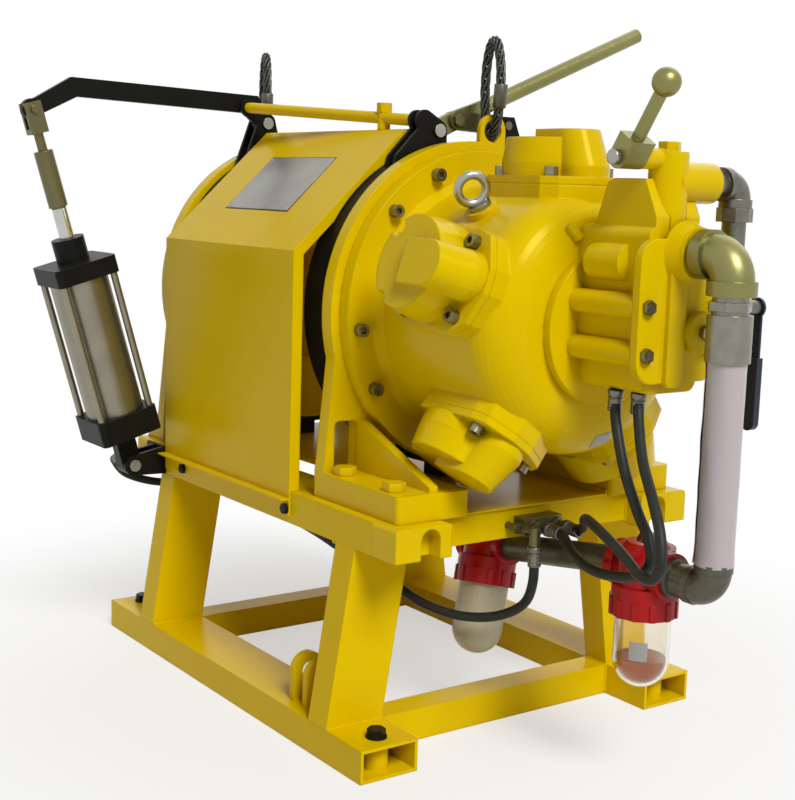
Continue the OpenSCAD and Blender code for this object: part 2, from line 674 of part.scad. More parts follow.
module brake_cylinder() color("#8b8d90") along_cyl() difference() {
  union() {
    for (q = [[cap_s0, cap_h], [top_cap_s, top_cap_h]]) translate([0, 0, q[0]])
      linear_extrude(q[1]) rrect(cyl_cap, cyl_cap, cap_r);
    translate([0, 0, cap_s0 + cap_h - cut]) cylinder(h = top_cap_s - cap_s0 - cap_h + 2*cut, d = cyl_d);
    for (x = [-1, 1], y = [-1, 1]) translate([x*(cyl_cap/2 - cap_r), y*(cyl_cap/2 - cap_r), cap_s0 + cap_h - cut])
      cylinder(h = top_cap_s - cap_s0 - cap_h + 2*cut, d = tie_rod_d);
    translate([0, 0, top_cap_s + top_cap_h - cut]) cylinder(h = gland_h + cut, d = gland_d);
    // tang that turns on the bracket pin
    rod_x(-cyl_tang/2, cyl_tang, 2.6*pin_d);
    translate([-cyl_tang/2, -1.3*pin_d, 0]) cube([cyl_tang, 2.6*pin_d, cap_s0 + cut]);
  }
  rod_x(-cyl_tang, 2*cyl_tang, pin_d + 2*run_c);
  translate([0, 0, cap_s0 + cap_h]) cylinder(h = top_cap_s - cap_s0 - cap_h, d = bore_d);
  translate([0, 0, top_cap_s - cut]) cylinder(h = top_cap_h + gland_h + 2*cut, d = rod_d + 2*run_c);
}
module piston_rod() color("silver") along_cyl() {
  translate([0, 0, piston_s]) cylinder(h = piston_t, d = bore_d - 2*run_c);
  translate([0, 0, piston_s + cut]) cylinder(h = sleeve_s - piston_s, d = rod_d);
  translate([0, 0, sleeve_s]) cylinder(h = sleeve_l, d = sleeve_w);
  translate([0, 0, sleeve_s + sleeve_l - cut]) cylinder(h = fork_s - sleeve_s - sleeve_l + 2*cut, d = stud_d);
  difference() {
    translate([0, 0, fork_s]) linear_extrude(cyl_len - fork_s + 0.4*fork_w) rrect(fork_w, fork_w, 0.1*fork_w);
    translate([-fork_slot/2, -fork_w, fork_s + 0.3*fork_w]) cube([fork_slot, 2*fork_w, fork_w*2]);
  }
  translate([0, 0, cyl_len]) rod_x(-fork_w/2 - head_t, fork_w + 2*head_t, pin_d);
}
// Bent flat arm from the band bracket to the rod fork
arm_w = 34;
arm_x = auto_x - arm_t/2;
module brake_arm() color("#161618") at_axis() difference() {
  union() {
    yz(arm_x, arm_t) polygon([auto_e + [0.25*arm_w, -0.3*arm_w], auto_e + [2.3*arm_w, 0.74*arm_w],
      auto_p + [-1.12*arm_w, 0.5*arm_w], auto_p + [-0.25*arm_w, -0.3*arm_w], auto_p + [0.35*arm_w, 0.25*arm_w],
      auto_p + [-0.38*arm_w, 1.44*arm_w], auto_e + [2*arm_w, 1.68*arm_w], auto_e + [-0.3*arm_w, 0.3*arm_w]]);
    translate([0, auto_e[0], auto_e[1]]) rod_x(arm_x, arm_t, 1.05*arm_w);
    translate([0, auto_p[0], auto_p[1]]) rod_x(arm_x, arm_t, 1.1*arm_w);
  }
  translate([0, auto_e[0], auto_e[1]]) rod_x(arm_x - cut, arm_t + 2*cut, pin_d + 2*open_c);
  translate([0, auto_p[0], auto_p[1]]) rod_x(arm_x - cut, arm_t + 2*cut, pin_d + 2*run_c);
}

/* Hand brake lever and its link */
lever_plate_t = 10;
lever_tail = 44;
link_t = 5;
link_w = 30;
bolt_d = 12;
lever_dir = [cos(lever_rise), sin(lever_rise)];
module hand_brake_lever() color("#a89f62") at_axis() difference() {
  union() {
    yz(hand_x - lever_plate_t/2, lever_plate_t) hull() {
      translate(hand_p) circle(d = 2.1*pin_d, $fn = 32);
      translate(hand_b) circle(d = 2.1*pin_d, $fn = 32);
      translate(hand_p + 2.5*lever_tail*lever_dir) circle(d = lever_d, $fn = 32);
    }
    translate([hand_x, hand_p[0], hand_p[1]]) rotate([lever_rise - right_a, 0, 0])
      translate([0, 0, 2.4*lever_tail]) cylinder(h = lever_l - 2.4*lever_tail, d = lever_d);
  }
  translate([0, hand_p[0], hand_p[1]]) rod_x(hand_x - lever_d, 2*lever_d, pin_d + 2*run_c);
  translate([0, hand_b[0], hand_b[1]]) rod_x(hand_x - lever_d, 2*lever_d, bolt_d + 2*run_c);
}
link_out = lever_plate_t/2 + 0.5*swing_c + link_t;
module hand_brake_link() color("#a7a595") at_axis() {
  for (x = [hand_x - link_out, hand_x + link_out - link_t]) yz(x, link_t) hull() {
    translate(hand_b) circle(d = 0.95*link_w, $fn = 32);
    translate(hand_f) circle(d = 0.95*link_w, $fn = 32);
  }
  translate([0, hand_f[0], hand_f[1]]) rod_x(hand_x - rear_ear_out - head_t, 2*rear_ear_out + 2*head_t, pin_d);
  translate([0, hand_b[0], hand_b[1]]) {
    rod_x(hand_x - link_out - head_t, 2*link_out + 2*head_t, bolt_d);
    translate([hand_x + link_out, 0, 0]) rotate([0, right_a, 0]) cylinder(h = 0.6*bolt_d, d = 1.75*bolt_d, $fn = hex_n);
    translate([hand_x - link_out, 0, 0]) rotate([0, -right_a, 0]) cylinder(h = 0.6*bolt_d, d = 1.75*bolt_d, $fn = hex_n);
  }
}

/* Drum guard */
guard_x1 = ped_x - 39;
guard_x0 = guard_x1 - guard_w;
guard_fold_z = axis_z + 90;
guard_top = [-92, axis_z + 278];
lip_z = beam_top - 13;
lip_w = 18;
guard_tab = 26;
guard_rim = 15;
guard_y = -top_w/2;
guard_v = unit([guard_top[0] - guard_y, guard_top[1] - guard_fold_z]);
guard_n = [guard_v[1], -guard_v[0]];
top_flange = 26;
module guard_outline() polygon([
  [guard_y, lip_z - guard_tab], [guard_y - guard_t, lip_z - guard_tab], [guard_y - guard_t, guard_fold_z],
  guard_top - guard_t*guard_n, [guard_top[0], guard_top[1] + guard_t], [guard_top[0] + top_flange, guard_top[1] + guard_t],
  [guard_top[0] + top_flange, guard_top[1]], guard_top, [guard_y, guard_fold_z]]);
module rim_outline() polygon([
  [guard_y - guard_t, lip_z], [guard_y - guard_t, guard_fold_z], guard_top - guard_t*guard_n,
  guard_top + guard_rim*guard_n, [guard_y + guard_rim, guard_fold_z - 0.4*guard_rim],
  [guard_y + guard_rim, beam_top + seat_c], [guard_y, beam_top + seat_c], [guard_y, lip_z]]);
guard_bolt_x = [guard_x0 + 0.17*guard_w, guard_x1 - 0.02*guard_w];
guard_bolt_d = 10;
module drum_guard() color("gold") difference() {
  union() {
    yz(guard_x0, guard_w) guard_outline();
    for (x = [guard_x0, guard_x1 - guard_t]) yz(x, guard_t) rim_outline();
    translate([guard_x0, guard_y - lip_w, lip_z]) cube([guard_w, lip_w, guard_t]);
  }
  for (x = guard_bolt_x) translate([x, 0, lip_z - 0.55*guard_tab])
    rod_y(guard_y - 2*guard_t, 3*guard_t, guard_bolt_d + bolt_c);
  // the end rims are cut back to clear the brake bands
  translate([0, 0, axis_z]) rod_x(guard_x0 - cut, guard_w + 2*cut, 2*(band_out + 2*swing_c));
}
module guard_bolts() color("dimgray") for (x = guard_bolt_x) translate([x, guard_y - guard_t, lip_z - 0.55*guard_tab])
  rotate([right_a, 0, 0]) bolt(guard_bolt_d, guard_t);

/* Motor */
case_flange_r = ped_r - 15;
case_flange_t = 24;
pad_r = case_r + 5;
pad_in = 0.72*case_r;
flange_hole_d = 14.5;
head_flange_t = 12;
head_a = [90, 162, 234, 306, 18];
head_bolt_x = 0.34*head_l;
head_bolt_y = 0.36*head_w;
eye_x = head_x - 22;
register_c = 1;
// Places an upright shape on the crankcase at angle a seen from the motor end
module radial(a, x) translate([x, 0, axis_z]) rotate([a - right_a, 0, 0]) children();
function case_arc(x0, r0, rx, ry, n) = [for (i = [0:n]) [r0 - ry + ry*cos(right_a*i/n), x0 + rx*sin(right_a*i/n)]];
module motor_case() color("gold") difference() {
  union() {
    translate([0, 0, axis_z]) rotate([0, right_a, 0]) rotate_extrude($fn = 96) polygon(concat(
      [[0, flange_x], [case_flange_r, flange_x], [case_flange_r, flange_x + case_flange_t],
       [case_r + 0.06*case_r, flange_x + case_flange_t], [case_r, flange_x + 1.6*case_flange_t]],
      case_arc(flange_x + 0.8*case_l, case_r, 0.2*case_l, 0.34*case_r, 10), [[0, case_x1]]));
    for (a = head_a) radial(a, head_x) translate([0, 0, pad_in]) linear_extrude(pad_r - pad_in) head_flange();
    radial(eye_a, eye_x) cylinder(h = eye_r0, d = 1.4*eye_base_d);
  }
  // recess over the end of the drum shaft
  translate([0, 0, axis_z]) rod_x(flange_x - cut, case_flange_t + cut, shaft_d + 4*register_c);
  for (a = head_a) radial(a, head_x) for (x = [-1, 1], y = [-1, 1]) translate([x*head_bolt_x, y*head_bolt_y, pad_r - 1.6*flange_hole_d])
    cylinder(h = 2*flange_hole_d, d = flange_hole_d - bolt_c + 2*run_c);
}
// Outline of a head flange: square towards the drum, three sided towards the motor end
flange_share = [[-0.38, -0.5], [-0.38, 0.5], [0.34, 0.5], [0.5, 0.44], [0.62, 0.14], [0.62, -0.1], [0.49, -0.4], [0.34, -0.5]];
module head_flange() polygon([for (q = flange_share) [q[0]*head_l, q[1]*head_w]]);
head_h = head_top_r - pad_r - head_flange_t;
cover_at = [-0.075*head_l, 0.04*head_w];
duct_w = 0.44*head_w;
duct_x = [-0.07*head_l, 0.26*head_l, 0.38*head_l];
// Head with a round cover over the piston and a raised duct that slopes to the motor end
module head(i) color("gold") radial(head_a[i], head_x) translate([0, 0, pad_r]) difference() {
  union() {
    linear_extrude(head_flange_t) head_flange();
    translate([cover_at[0], cover_at[1], head_flange_t - cut]) cylinder(h = 0.3*head_h + cut, d = cover_d);
    translate([cover_at[0], cover_at[1], head_flange_t + 0.3*head_h - cut])
      cylinder(h = 0.52*head_h + cut, d1 = cover_d, d2 = 0.93*cover_d);
    translate([0, 0.03*head_w, 0]) hull() {
      translate([duct_x[0], -duct_w/2, head_flange_t + 0.96*head_h]) cube([duct_x[1] - duct_x[0], duct_w, 0.04*head_h]);
      translate([duct_x[1], 0, head_flange_t + 0.96*head_h]) cylinder(h = 0.04*head_h, d = duct_w, $fn = 32);
      translate([duct_x[0], -0.55*duct_w, head_flange_t - cut]) cube([duct_x[1] - duct_x[0], 1.1*duct_w, cut]);
      translate([duct_x[2], 0, head_flange_t - cut]) cylinder(h = 0.25*head_h, d = 1.1*duct_w, $fn = 32);
    }
  }
  for (x = [-1, 1], y = [-1, 1]) translate([x*head_bolt_x, y*head_bolt_y, 0]) {
    translate([0, 0, -cut]) cylinder(h = head_flange_t + 2*cut, d = flange_hole_d + bolt_c);
    translate([0, 0, head_flange_t]) cylinder(h = head_h + cut, d = 1.9*flange_hole_d);
  }
}
module head_1() head(0);
module head_2() head(1);
module head_3() head(2);
module head_4() head(3);
module head_5() head(4);
flange_bolt_a = [54, 126, 198, 270, 342];
flange_bolt_r = case_flange_r - 20;
module motor_bolts() color("#8c8868") {
  for (a = head_a) radial(a, head_x) translate([0, 0, pad_r + head_flange_t])
    for (x = [-1, 1], y = [-1, 1]) translate([x*head_bolt_x, y*head_bolt_y, 0])
      cap_bolt(flange_hole_d - bolt_c, head_flange_t + flange_hole_d);
  for (a = flange_bolt_a, d = [-12, 12]) translate([flange_x + case_flange_t, flange_bolt_r*cos(a + d), axis_z + flange_bolt_r*sin(a + d)])
    rotate([0, right_a, 0]) cap_bolt(flange_hole_d - bolt_c, 0);
  for (q = cover_bolts) translate([cover_x1, q[0], axis_z + q[1]]) rotate([0, right_a, 0]) bolt(cover_bolt_d, 0);
  translate([cover_x1 + port_boss_h, port_boss[0], axis_z + port_boss[1]]) rotate([0, right_a, 0]) bolt(cover_bolt_d, 0);
}

// Valve housing: a box on a round flange with long bolt tubes on its sides
valve_r = 112;
valve_flange_t = 14;
valve_w = 104;
valve_bot = -77;
valve_top = 148;
cover_bolt_d = 12;
cover_bolts = [[-62, 42], [-62, -22], [64, 42], [64, -22]];
tube_boss_d = 34;
port_boss = [34, 7];
port_boss_d = 58;
port_boss_h = 14;
port_z = 114;
port_y = 6;
port_d = 70;
chest_x = case_x1 + 112;
chest_d = 54;
chest_z0 = 140;
chest_z1 = 247;
module valve_housing() color("gold") at_axis() {
  difference() {
    union() {
      rod_x(case_x1, valve_flange_t, 2*valve_r);
      translate([case_x1, 0, 0]) yz(0, valve_l) translate([0, (valve_top + valve_bot)/2]) rrect(valve_w, valve_top - valve_bot, 0.15*valve_w);
      for (q = cover_bolts) translate([0, q[0], q[1]]) rod_x(case_x1 + cut, valve_l - cut, tube_boss_d);
      // web that ties the bolt tubes to the box
      for (s = [-1, 1]) translate([case_x1 + cut, min(0, s*(valve_w/2 + 0.2*tube_boss_d)), cover_bolts[1][1]])
        cube([valve_l - cut, valve_w/2 + 0.2*tube_boss_d, cover_bolts[0][1] - cover_bolts[1][1]]);
      // rounded lump of the pilot valve and the shoulder under the chest
      translate([0, -valve_w/2 + 0.06*valve_w, 0.66*valve_top]) rod_x(case_x1 + 0.22*valve_l, 0.5*valve_l, 0.5*valve_w);
      xz(-0.4*valve_w, 0.8*valve_w) polygon([[case_x1 + 0.1*valve_l, valve_top - 0.2*valve_w], [case_x1 + 0.3*valve_l, chest_z0 + 0.62*valve_w],
        [case_x1 + 0.4*valve_l, chest_z0 + 0.68*valve_w], [chest_x, chest_z0 + 0.68*valve_w],
        [cover_x, chest_z0 + 0.2*valve_w], [cover_x, valve_top - 0.2*valve_w]]);
    }
    translate([chest_x, 0, chest_z0]) cylinder(h = chest_z1, d = chest_d + 2*run_c);
    // saddle under the exhaust stub
    translate([chest_x, 0, stub_z]) rod_y(0, stub_l, stub_d + 2*run_c);
  }
}
module end_cover() color("gold") at_axis() difference() {
  union() {
    yz(cover_x, cover_t) translate([0, (valve_top + valve_bot)/2]) rrect(1.5*valve_w, valve_top - valve_bot - 0.3*valve_w, 0.3*valve_w);
    translate([0, port_boss[0], port_boss[1]]) rod_x(cover_x1 - cut, port_boss_h + cut, port_boss_d);
    translate([0, port_y, port_z]) {
      translate([cover_x1 - cut, 0, 0]) rotate([0, right_a, 0]) cylinder(h = 22, d1 = 1.25*port_d, d2 = port_d);
      rod_x(cover_x1 - cut, port_l, port_d);
    }
    // vertical rib
    yz(cover_x1 - cut, 0.5*cover_t + cut) translate([-0.1*valve_w, 0.12*valve_top]) rrect(0.32*valve_w, 1.15*valve_top, 0.1*valve_w);
  }
  translate([0, port_y, port_z]) rod_x(cover_x, 3*port_l, pipe_d + 2*run_c);
}
port_l = 26;
up_d = 34;
up_nipple = 24.5;
stub_l = 80;
stub_z = 207;
stub_d = 56;
spindle_z = 242.6;
spindle_y = -106;
chest_hex = 27;
module valve_chest() color("gold") at_axis() translate([chest_x, 0, 0]) difference() {
  union() {
    translate([0, 0, chest_z0]) cylinder(h = chest_z1 - chest_z0, d = chest_d);
    translate([0, 0, chest_z1 - cut]) cylinder(h = 0.5*chest_hex + cut, d = chest_hex/cos(30), $fn = hex_n);
    translate([0, 0, stub_z]) rod_y(0, stub_l, stub_d);
    translate([0, 0, spindle_z - 0.1*stub_d]) rod_y(-spindle_boss, spindle_boss, 1.8*spindle_d);
    translate([0, 0, spindle_z - 0.1*stub_d]) rod_y(spindle_y, -spindle_y, spindle_d);
    translate([0, 0, spindle_z - 0.1*stub_d]) rod_y(spindle_y, 9, 1.25*spindle_d);
  }
  translate([0, 0, stub_z]) rod_y(stub_l - pipe_in, 2*pipe_in, up_d + 2*run_c);
}
spindle_boss = 56;
spindle_d = 16;
pipe_in = 18;

// Throttle lever: block on the spindle, raked rod and ball
throttle_rake = 33;
throttle_l = 112;
throttle_y0 = spindle_y + 9 + seat_c;
throttle_w = -spindle_boss - seat_c - throttle_y0;
throttle_rod_d = 18;
module throttle_lever() color("#a08a3c") translate([chest_x, 0, axis_z + spindle_z - 0.1*stub_d]) difference() {
  union() {
    rotate([0, throttle_rake, 0]) {
      xz(throttle_y0, throttle_w) union() {
        circle(d = 1.9*spindle_d);
        translate([-0.95*spindle_d, 0]) square([1.9*spindle_d, 1.9*spindle_d]);
      }
      translate([0, throttle_y0 + throttle_w/2, 1.9*spindle_d - cut]) cylinder(h = throttle_l - 1.9*spindle_d, d = throttle_rod_d);
      translate([0, throttle_y0 + throttle_w/2, throttle_l]) sphere(d = ball_d);
    }
  }
  rod_y(2*spindle_y, -2*spindle_y, spindle_d + 2*run_c);
}

eye_a = 125.5;
eye_turn = 64;
eye_r0 = 203;
eye_base_d = 34;
eye_ring_d = 42;
eye_wire = 13;
module eyebolt() color("silver") radial(eye_a, eye_x) {
  translate([0, 0, eye_r0]) cylinder(h = 7, d = eye_base_d);
  translate([0, 0, eye_r0 + 5 + eye_ring_d/2 + 0.3*eye_wire]) rotate([right_a, 0, eye_turn])
    rotate_extrude() translate([eye_ring_d/2, 0]) circle(d = eye_wire, $fn = 24);
}

/* Air line */
pipe_x = cover_x1 + 82;
bend_r = 0.71*pipe_d;
collar_l = 0.37*pipe_d;
elbow_d = 1.2*pipe_d;
collar_d = 1.38*pipe_d;
// Elbow with radius r and body d that joins a collar on an arm along plus Z to one along minus X
module elbow(r, d, l, dc) {
  translate([-r, 0, r]) rotate([right_a, 0, 0]) rotate_extrude(angle = -right_a) translate([r, 0]) circle(d = d);
  translate([0, 0, r - cut]) cylinder(h = l + cut, d = dc);
  rod_x(-r - l, l + cut, dc);
}
arm_l = bend_r + collar_l;
elbow_z = axis_z + port_z;
module lower_elbow() color("#9b9a6e") difference() {
  union() {
    translate([pipe_x, port_y, elbow_z]) mirror([0, 0, 1]) elbow(bend_r, elbow_d, collar_l, collar_d);
    translate([0, port_y, elbow_z]) rod_x(cover_x1 + port_l - pipe_in, pipe_x - arm_l - cover_x1 - port_l + pipe_in + cut, pipe_d);
  }
}
nipple_l = 24;
coupling_l = 62;
coupling_d = 1.25*pipe_d;
pipe_z1 = elbow_z - arm_l;
line_z = 320;
foot_bend_r = 0.6*pipe_d;
foot_bend_d = 1.04*pipe_d;
foot_collar_d = 1.1*pipe_d;
foot_collar_l = 0.2*pipe_d;
pipe_z0 = line_z + foot_bend_r + foot_collar_l;
module down_pipe() color("silver") translate([pipe_x, port_y, 0]) {
  translate([0, 0, pipe_z0]) cylinder(h = pipe_z1 - pipe_z0, d = pipe_d);
  translate([0, 0, pipe_z1 - nipple_l - coupling_l]) cylinder(h = coupling_l, d = coupling_d);
  translate([0, 0, pipe_z1 - 0.8*nipple_l]) cylinder(h = 0.5*nipple_l, d = 1.2*pipe_d, $fn = hex_n);
}
lub_x = pipe_x - 123;
filter_x = lub_x - 344;
lub_half = 52;
line_rake = 8.4;
filter_z = line_z - (lub_x - lub_half - 4 - filter_x)*tan(line_rake);
module bottom_elbow() color("#6f716c") translate([pipe_x, port_y, line_z]) {
  elbow(foot_bend_r, foot_bend_d, foot_collar_l, foot_collar_d);
  rod_x(lub_x + lub_half - pipe_x + seat_c, pipe_x - lub_x - lub_half - seat_c - foot_bend_r - foot_collar_l + cut, pipe_d);
  rod_x(lub_x + lub_half - pipe_x + seat_c, 0.2*pipe_d, 1.16*pipe_d);
}
// Head with a cast body on the pipe line, a round cup above and a fluted ring nut below
head_up = 34;
head_down = 22;
cup_d = 82;
ring_h = 42;
ring_d = 94;
bowl_wall = 4;
flute_n = 12;
module service_head(cup, d) difference() {
  union() {
    rod_x(-lub_half, 2*lub_half, 1.25*d);
    for (x = [-lub_half, lub_half - 0.36*d]) rod_x(x, 0.36*d, 1.42*d);
    translate([0, 0, -head_down]) cylinder(h = head_down + head_up, d = cup_d);
    if (cup) translate([0, 0, head_up - cut]) cylinder(h = 0.2*head_up + cut, d1 = 0.9*cup_d, d2 = 0.7*cup_d);
    translate([0, 0, -head_down - ring_h]) cylinder(h = ring_h + cut, d = ring_d);
    translate([0, 0, -head_down - ring_h]) linear_extrude(0.6*ring_h) for (i = [1:flute_n]) rotate(360*i/flute_n)
      translate([ring_d/2 - 0.02*ring_d, 0]) square(0.09*ring_d, center = true);
  }
  translate([0, 0, -head_down - ring_h - cut]) cylinder(h = ring_h, d = bowl_d + 2*run_c);
  for (s = [-1, 1]) rod_x(s > 0 ? lub_half - pipe_in : -lub_half - pipe_in, 2*pipe_in, line_d + 2*run_c);
  if (cup) translate([0, 0, head_up - 0.3*head_up]) cylinder(h = head_up, d = dome_d + 2*run_c);
}
dome_d = 30;
// Round bottomed bowl that hangs down from the plane z = 0 with length l
module bowl(l) difference() {
  union() {
    translate([0, 0, -l + bowl_d/2]) cylinder(h = l - bowl_d/2, d = bowl_d);
    translate([0, 0, -l + bowl_d/2]) sphere(d = bowl_d);
  }
  translate([0, 0, -l + bowl_d/2]) cylinder(h = l + cut, d = bowl_d - 2*bowl_wall);
  translate([0, 0, -l + bowl_d/2]) sphere(d = bowl_d - 2*bowl_wall);
}
bowl_top = -head_down - cut - seat_c;
lub_bowl_l = 146;
filter_bowl_l = 150;
module at_lub() translate([lub_x, port_y, line_z]) children();
module lubricator_head() color("firebrick") at_lub() service_head(true, pipe_d);
module lubricator_bowl() color("lightgray", 0.4) at_lub() translate([0, 0, bowl_top]) bowl(lub_bowl_l);
oil_l = 4;
module lubricator_oil() color("chocolate") at_lub() translate([0, 0, bowl_top - lub_bowl_l + bowl_d/2]) {
  cylinder(h = oil_l, d = bowl_d - 2*bowl_wall - 2*run_c);
  intersection() {
    sphere(d = bowl_d - 2*bowl_wall - 2*run_c);
    translate([-bowl_d, -bowl_d, -bowl_d]) cube([2*bowl_d, 2*bowl_d, bowl_d + run_c]);
  }
}
module sight_dome() color("lightgray", 0.5) at_lub() translate([0, 0, head_up - 0.3*head_up]) {
  cylinder(h = 0.5*head_up, d = dome_d);
  translate([0, 0, 0.5*head_up]) sphere(d = dome_d);
}
filter_tilt = 15;
module at_filter() translate([filter_x, port_y, filter_z]) rotate([0, -line_rake, 0]) rotate([-filter_tilt, 0, 0]) children();
module filter_head() color("firebrick") at_filter() service_head(false, line_d);
module filter_bowl() color("linen") at_filter() translate([0, 0, bowl_top]) bowl(filter_bowl_l);
// Pipe from the lubricator down to the filter, bent beside the lubricator
bend_x = lub_x - lub_half - 4;
line_len = (bend_x - filter_x)/cos(line_rake);
module transfer_pipe() color("dimgray") difference() {
  union() {
    translate([0, port_y, line_z]) rod_x(bend_x, pipe_in + 4 - seat_c, line_d);
    translate([bend_x, port_y, line_z]) sphere(d = line_d);
    translate([bend_x, port_y, line_z]) rotate([0, -line_rake, 0]) rod_x(-line_len + lub_half - pipe_in + seat_c, line_len - lub_half + pipe_in - seat_c, line_d);
  }
  translate([0, port_y, line_z]) rod_x(bend_x, lub_half, 0.8*line_d);
  translate([bend_x, port_y, line_z]) sphere(d = 0.8*line_d);
  translate([bend_x, port_y, line_z]) rotate([0, -line_rake, 0]) rod_x(-line_len, line_len, 0.8*line_d);
}

up_bend_r = 0.66*up_d;
up_collar_l = 0.29*up_d;
up_elbow_d = 1.22*up_d;
up_collar_d = 1.38*up_d;
up_arm = up_bend_r + up_collar_l;
upper_elbow_y = stub_l + up_nipple + up_arm + seat_c;
module upper_elbow() color("#8d8f8c") translate([chest_x, upper_elbow_y, axis_z + stub_z]) {
  rotate([0, 0, right_a]) mirror([0, 0, 1]) elbow(up_bend_r, up_elbow_d, up_collar_l, up_collar_d);
  rod_y(-up_arm - up_nipple - seat_c - pipe_in, up_nipple + pipe_in + seat_c + cut, up_d);
}
union_h = 30;
union_tail = 65.6;
module union_nut() color("#b0b2b0") translate([chest_x, upper_elbow_y, axis_z + stub_z - up_arm - union_h - union_tail]) {
  translate([0, 0, union_tail + 0.35*union_h]) cylinder(h = 0.65*union_h, d = 1.5*up_d, $fn = 8);
  cylinder(h = union_tail + 0.36*union_h, d = up_d);
}
valve_h = 92;
valve_body_d = 56;
valve_z0 = axis_z + stub_z - up_arm - union_h - union_tail - valve_h;
stem_z = valve_z0 + valve_h/2;
stem_l = 74;
module ball_valve() color("#a3a5a3") translate([chest_x, upper_elbow_y, valve_z0]) difference() {
  union() {
    cylinder(h = valve_h, d = 0.82*valve_body_d);
    translate([0, 0, 0.25*valve_h]) cylinder(h = 0.5*valve_h, d = valve_body_d);
    for (z = [0, 0.82*valve_h]) translate([0, 0, z]) cylinder(h = 0.18*valve_h, d = 1.5*up_d, $fn = 8);
    translate([0, 0, valve_h/2]) rod_y(0, 0.8*stem_l, 0.4*valve_body_d);
    translate([0, 0, valve_h/2]) rod_y(0, stem_l, 0.8*spindle_d);
  }
  translate([0, 0, -cut]) cylinder(h = 0.25*valve_h, d = 0.8*up_d);
}
handle_l = 168;
handle_w = 20;
handle_t = 4;
grip_l = 95;
module valve_handle() color("#20242c") translate([chest_x, upper_elbow_y, stem_z]) difference() {
  union() {
    xz(0.8*stem_l + seat_c, handle_t) union() {
      circle(d = 1.5*handle_w);
      translate([-handle_w/2, -handle_l]) square([handle_w, handle_l]);
    }
    xz(0.8*stem_l + seat_c - handle_t, 3*handle_t) union() {
      translate([0, -handle_l]) circle(d = 1.2*handle_w);
      translate([-0.6*handle_w, -handle_l]) square([1.2*handle_w, grip_l]);
    }
  }
  rod_y(0, 2*stem_l, 0.8*spindle_d + 2*run_c);
}

// Hose manifold on the face of the near cross beam
block_w = 46;
block_t = 26;
block_z = 342;
port_len = 22;
man_x = cross_near_x + leg_t;
h1_end = [man_x + block_t + port_len, -22, block_z];
h2_end = [man_x + block_t + port_len, 14, block_z];
h3_end = [man_x + 0.5*block_t + 34, -44, 318];
module fitting_x(x0, l, d) {
  rod_x(x0, l, d);
  rod_x(x0, 0.45*l, 1.5*d);
}
module manifold() color("#6d6d66") {
  translate([man_x, -block_w, block_z - block_t/2]) cube([block_t, 1.6*block_w, block_t]);
  for (p = [h1_end, h2_end]) translate([0, p[1], p[2]]) fitting_x(man_x + block_t - cut, port_len + cut, hose_d);
  translate([h3_end[0], h3_end[1], h3_end[2]]) {
    cylinder(h = block_z - h3_end[2] + 0.3*hose_d, d = 1.1*hose_d);
    translate([0, 0, block_z - h3_end[2]]) rod_x(man_x + block_t - h3_end[0] - cut, h3_end[0] - man_x - block_t + cut, hose_d);
  }
  translate([0, -block_w - 12, block_z]) rod_x(man_x, 0.9*block_t, 0.8*hose_d);
  translate([man_x + block_t/2, 0, block_z]) rod_y(-block_w - 16, 16 + cut, 0.8*hose_d);
}
// Route points of the hoses
hose_1_route = [[596, -40, 575], [596, -40, 558], [606, -46, 528], [640, -60, 472], [684, -76, 425], [716, -84, 392], [722, -86, 362],
  [698, -84, 340], [654, -80, 328], [600, -72, 323], [540, -52, 328], [486, -24, 341], [h1_end[0] + 1.6*hose_d, h1_end[1], h1_end[2]], h1_end];
hose_2_route = [[630, -30, 575], [630, -30, 558], [646, -42, 528], [676, -62, 488], [720, -86, 449], [754, -104, 411], [766, -112, 374],
  [752, -112, 352], [724, -108, 352], [690, -100, 366], [650, -92, 380], [600, -74, 388], [552, -44, 382], [500, 4, 354], [h2_end[0] + 1.6*hose_d, h2_end[1], h2_end[2]], h2_end];
hose_3_route = [h3_end, [h3_end[0], h3_end[1], 262], [426, -44, 222], [385, -62, 196], [335, -92, 188], [285, -122, 198], [240, -150, 222],
  [212, -190, 256], [184, -220, 280], [140, -234, 296], [60, -236, 304], [-100, -220, 304], [-200, -176, 302], [-290, -172, 292],
  [-346, -196, 284], [-372, -260, 282], [-386, -318, 300], [-376, -348, 330], [-356, -352, 338],
  [auto_x - cyl_gap/2 - cyl_ear - head_t, -352, 338]];
module pilot_hose_1() color("#232323") tube(hose_1_route, hose_d, 8, [0, 1, 0]);
module pilot_hose_2() color("#232323") tube(hose_2_route, hose_d, 8, [0, 1, 0]);
module brake_hose() color("#232323") tube(hose_3_route, hose_d, 8, [0, 1, 0]);

rail_front();
rail_rear();
base_cross_members();
legs();
top_beams();
corner_pads();
top_cross_beams();
drip_tray();
tie_down_lugs();
anchor_bolts();
motor_pedestal();
far_pedestal();
foot_bolts();
drum_guard();
guard_bolts();
hand_brake_band();
auto_brake_band();
brake_linings();
brake_pins();
tie_bar();
lifting_slings();
cylinder_bracket();
motor_case();
head_1();
head_2();
head_3();
head_4();
head_5();
motor_bolts();
valve_housing();
end_cover();
valve_chest();
eyebolt();
upper_elbow();
union_nut();
ball_valve();
lower_elbow();
down_pipe();
bottom_elbow();
lubricator_head();
lubricator_bowl();
lubricator_oil();
sight_dome();
filter_head();
filter_bowl();
transfer_pipe();
manifold();
pilot_hose_1();
pilot_hose_2();
brake_hose();
drum();
drum_shaft();
shaft_bearings();
hand_brake_lever();
hand_brake_link();
brake_arm();
brake_cylinder();
piston_rod();
throttle_lever();
valve_handle();
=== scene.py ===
"""Air winch: finishes for the CAD frame, and the pieces that dress it."""
import logging
import math
from dataclasses import dataclass, field
from enum import Enum
from typing import ClassVar, Optional, Sequence

import bmesh
import bpy
from mathutils import Matrix, Vector


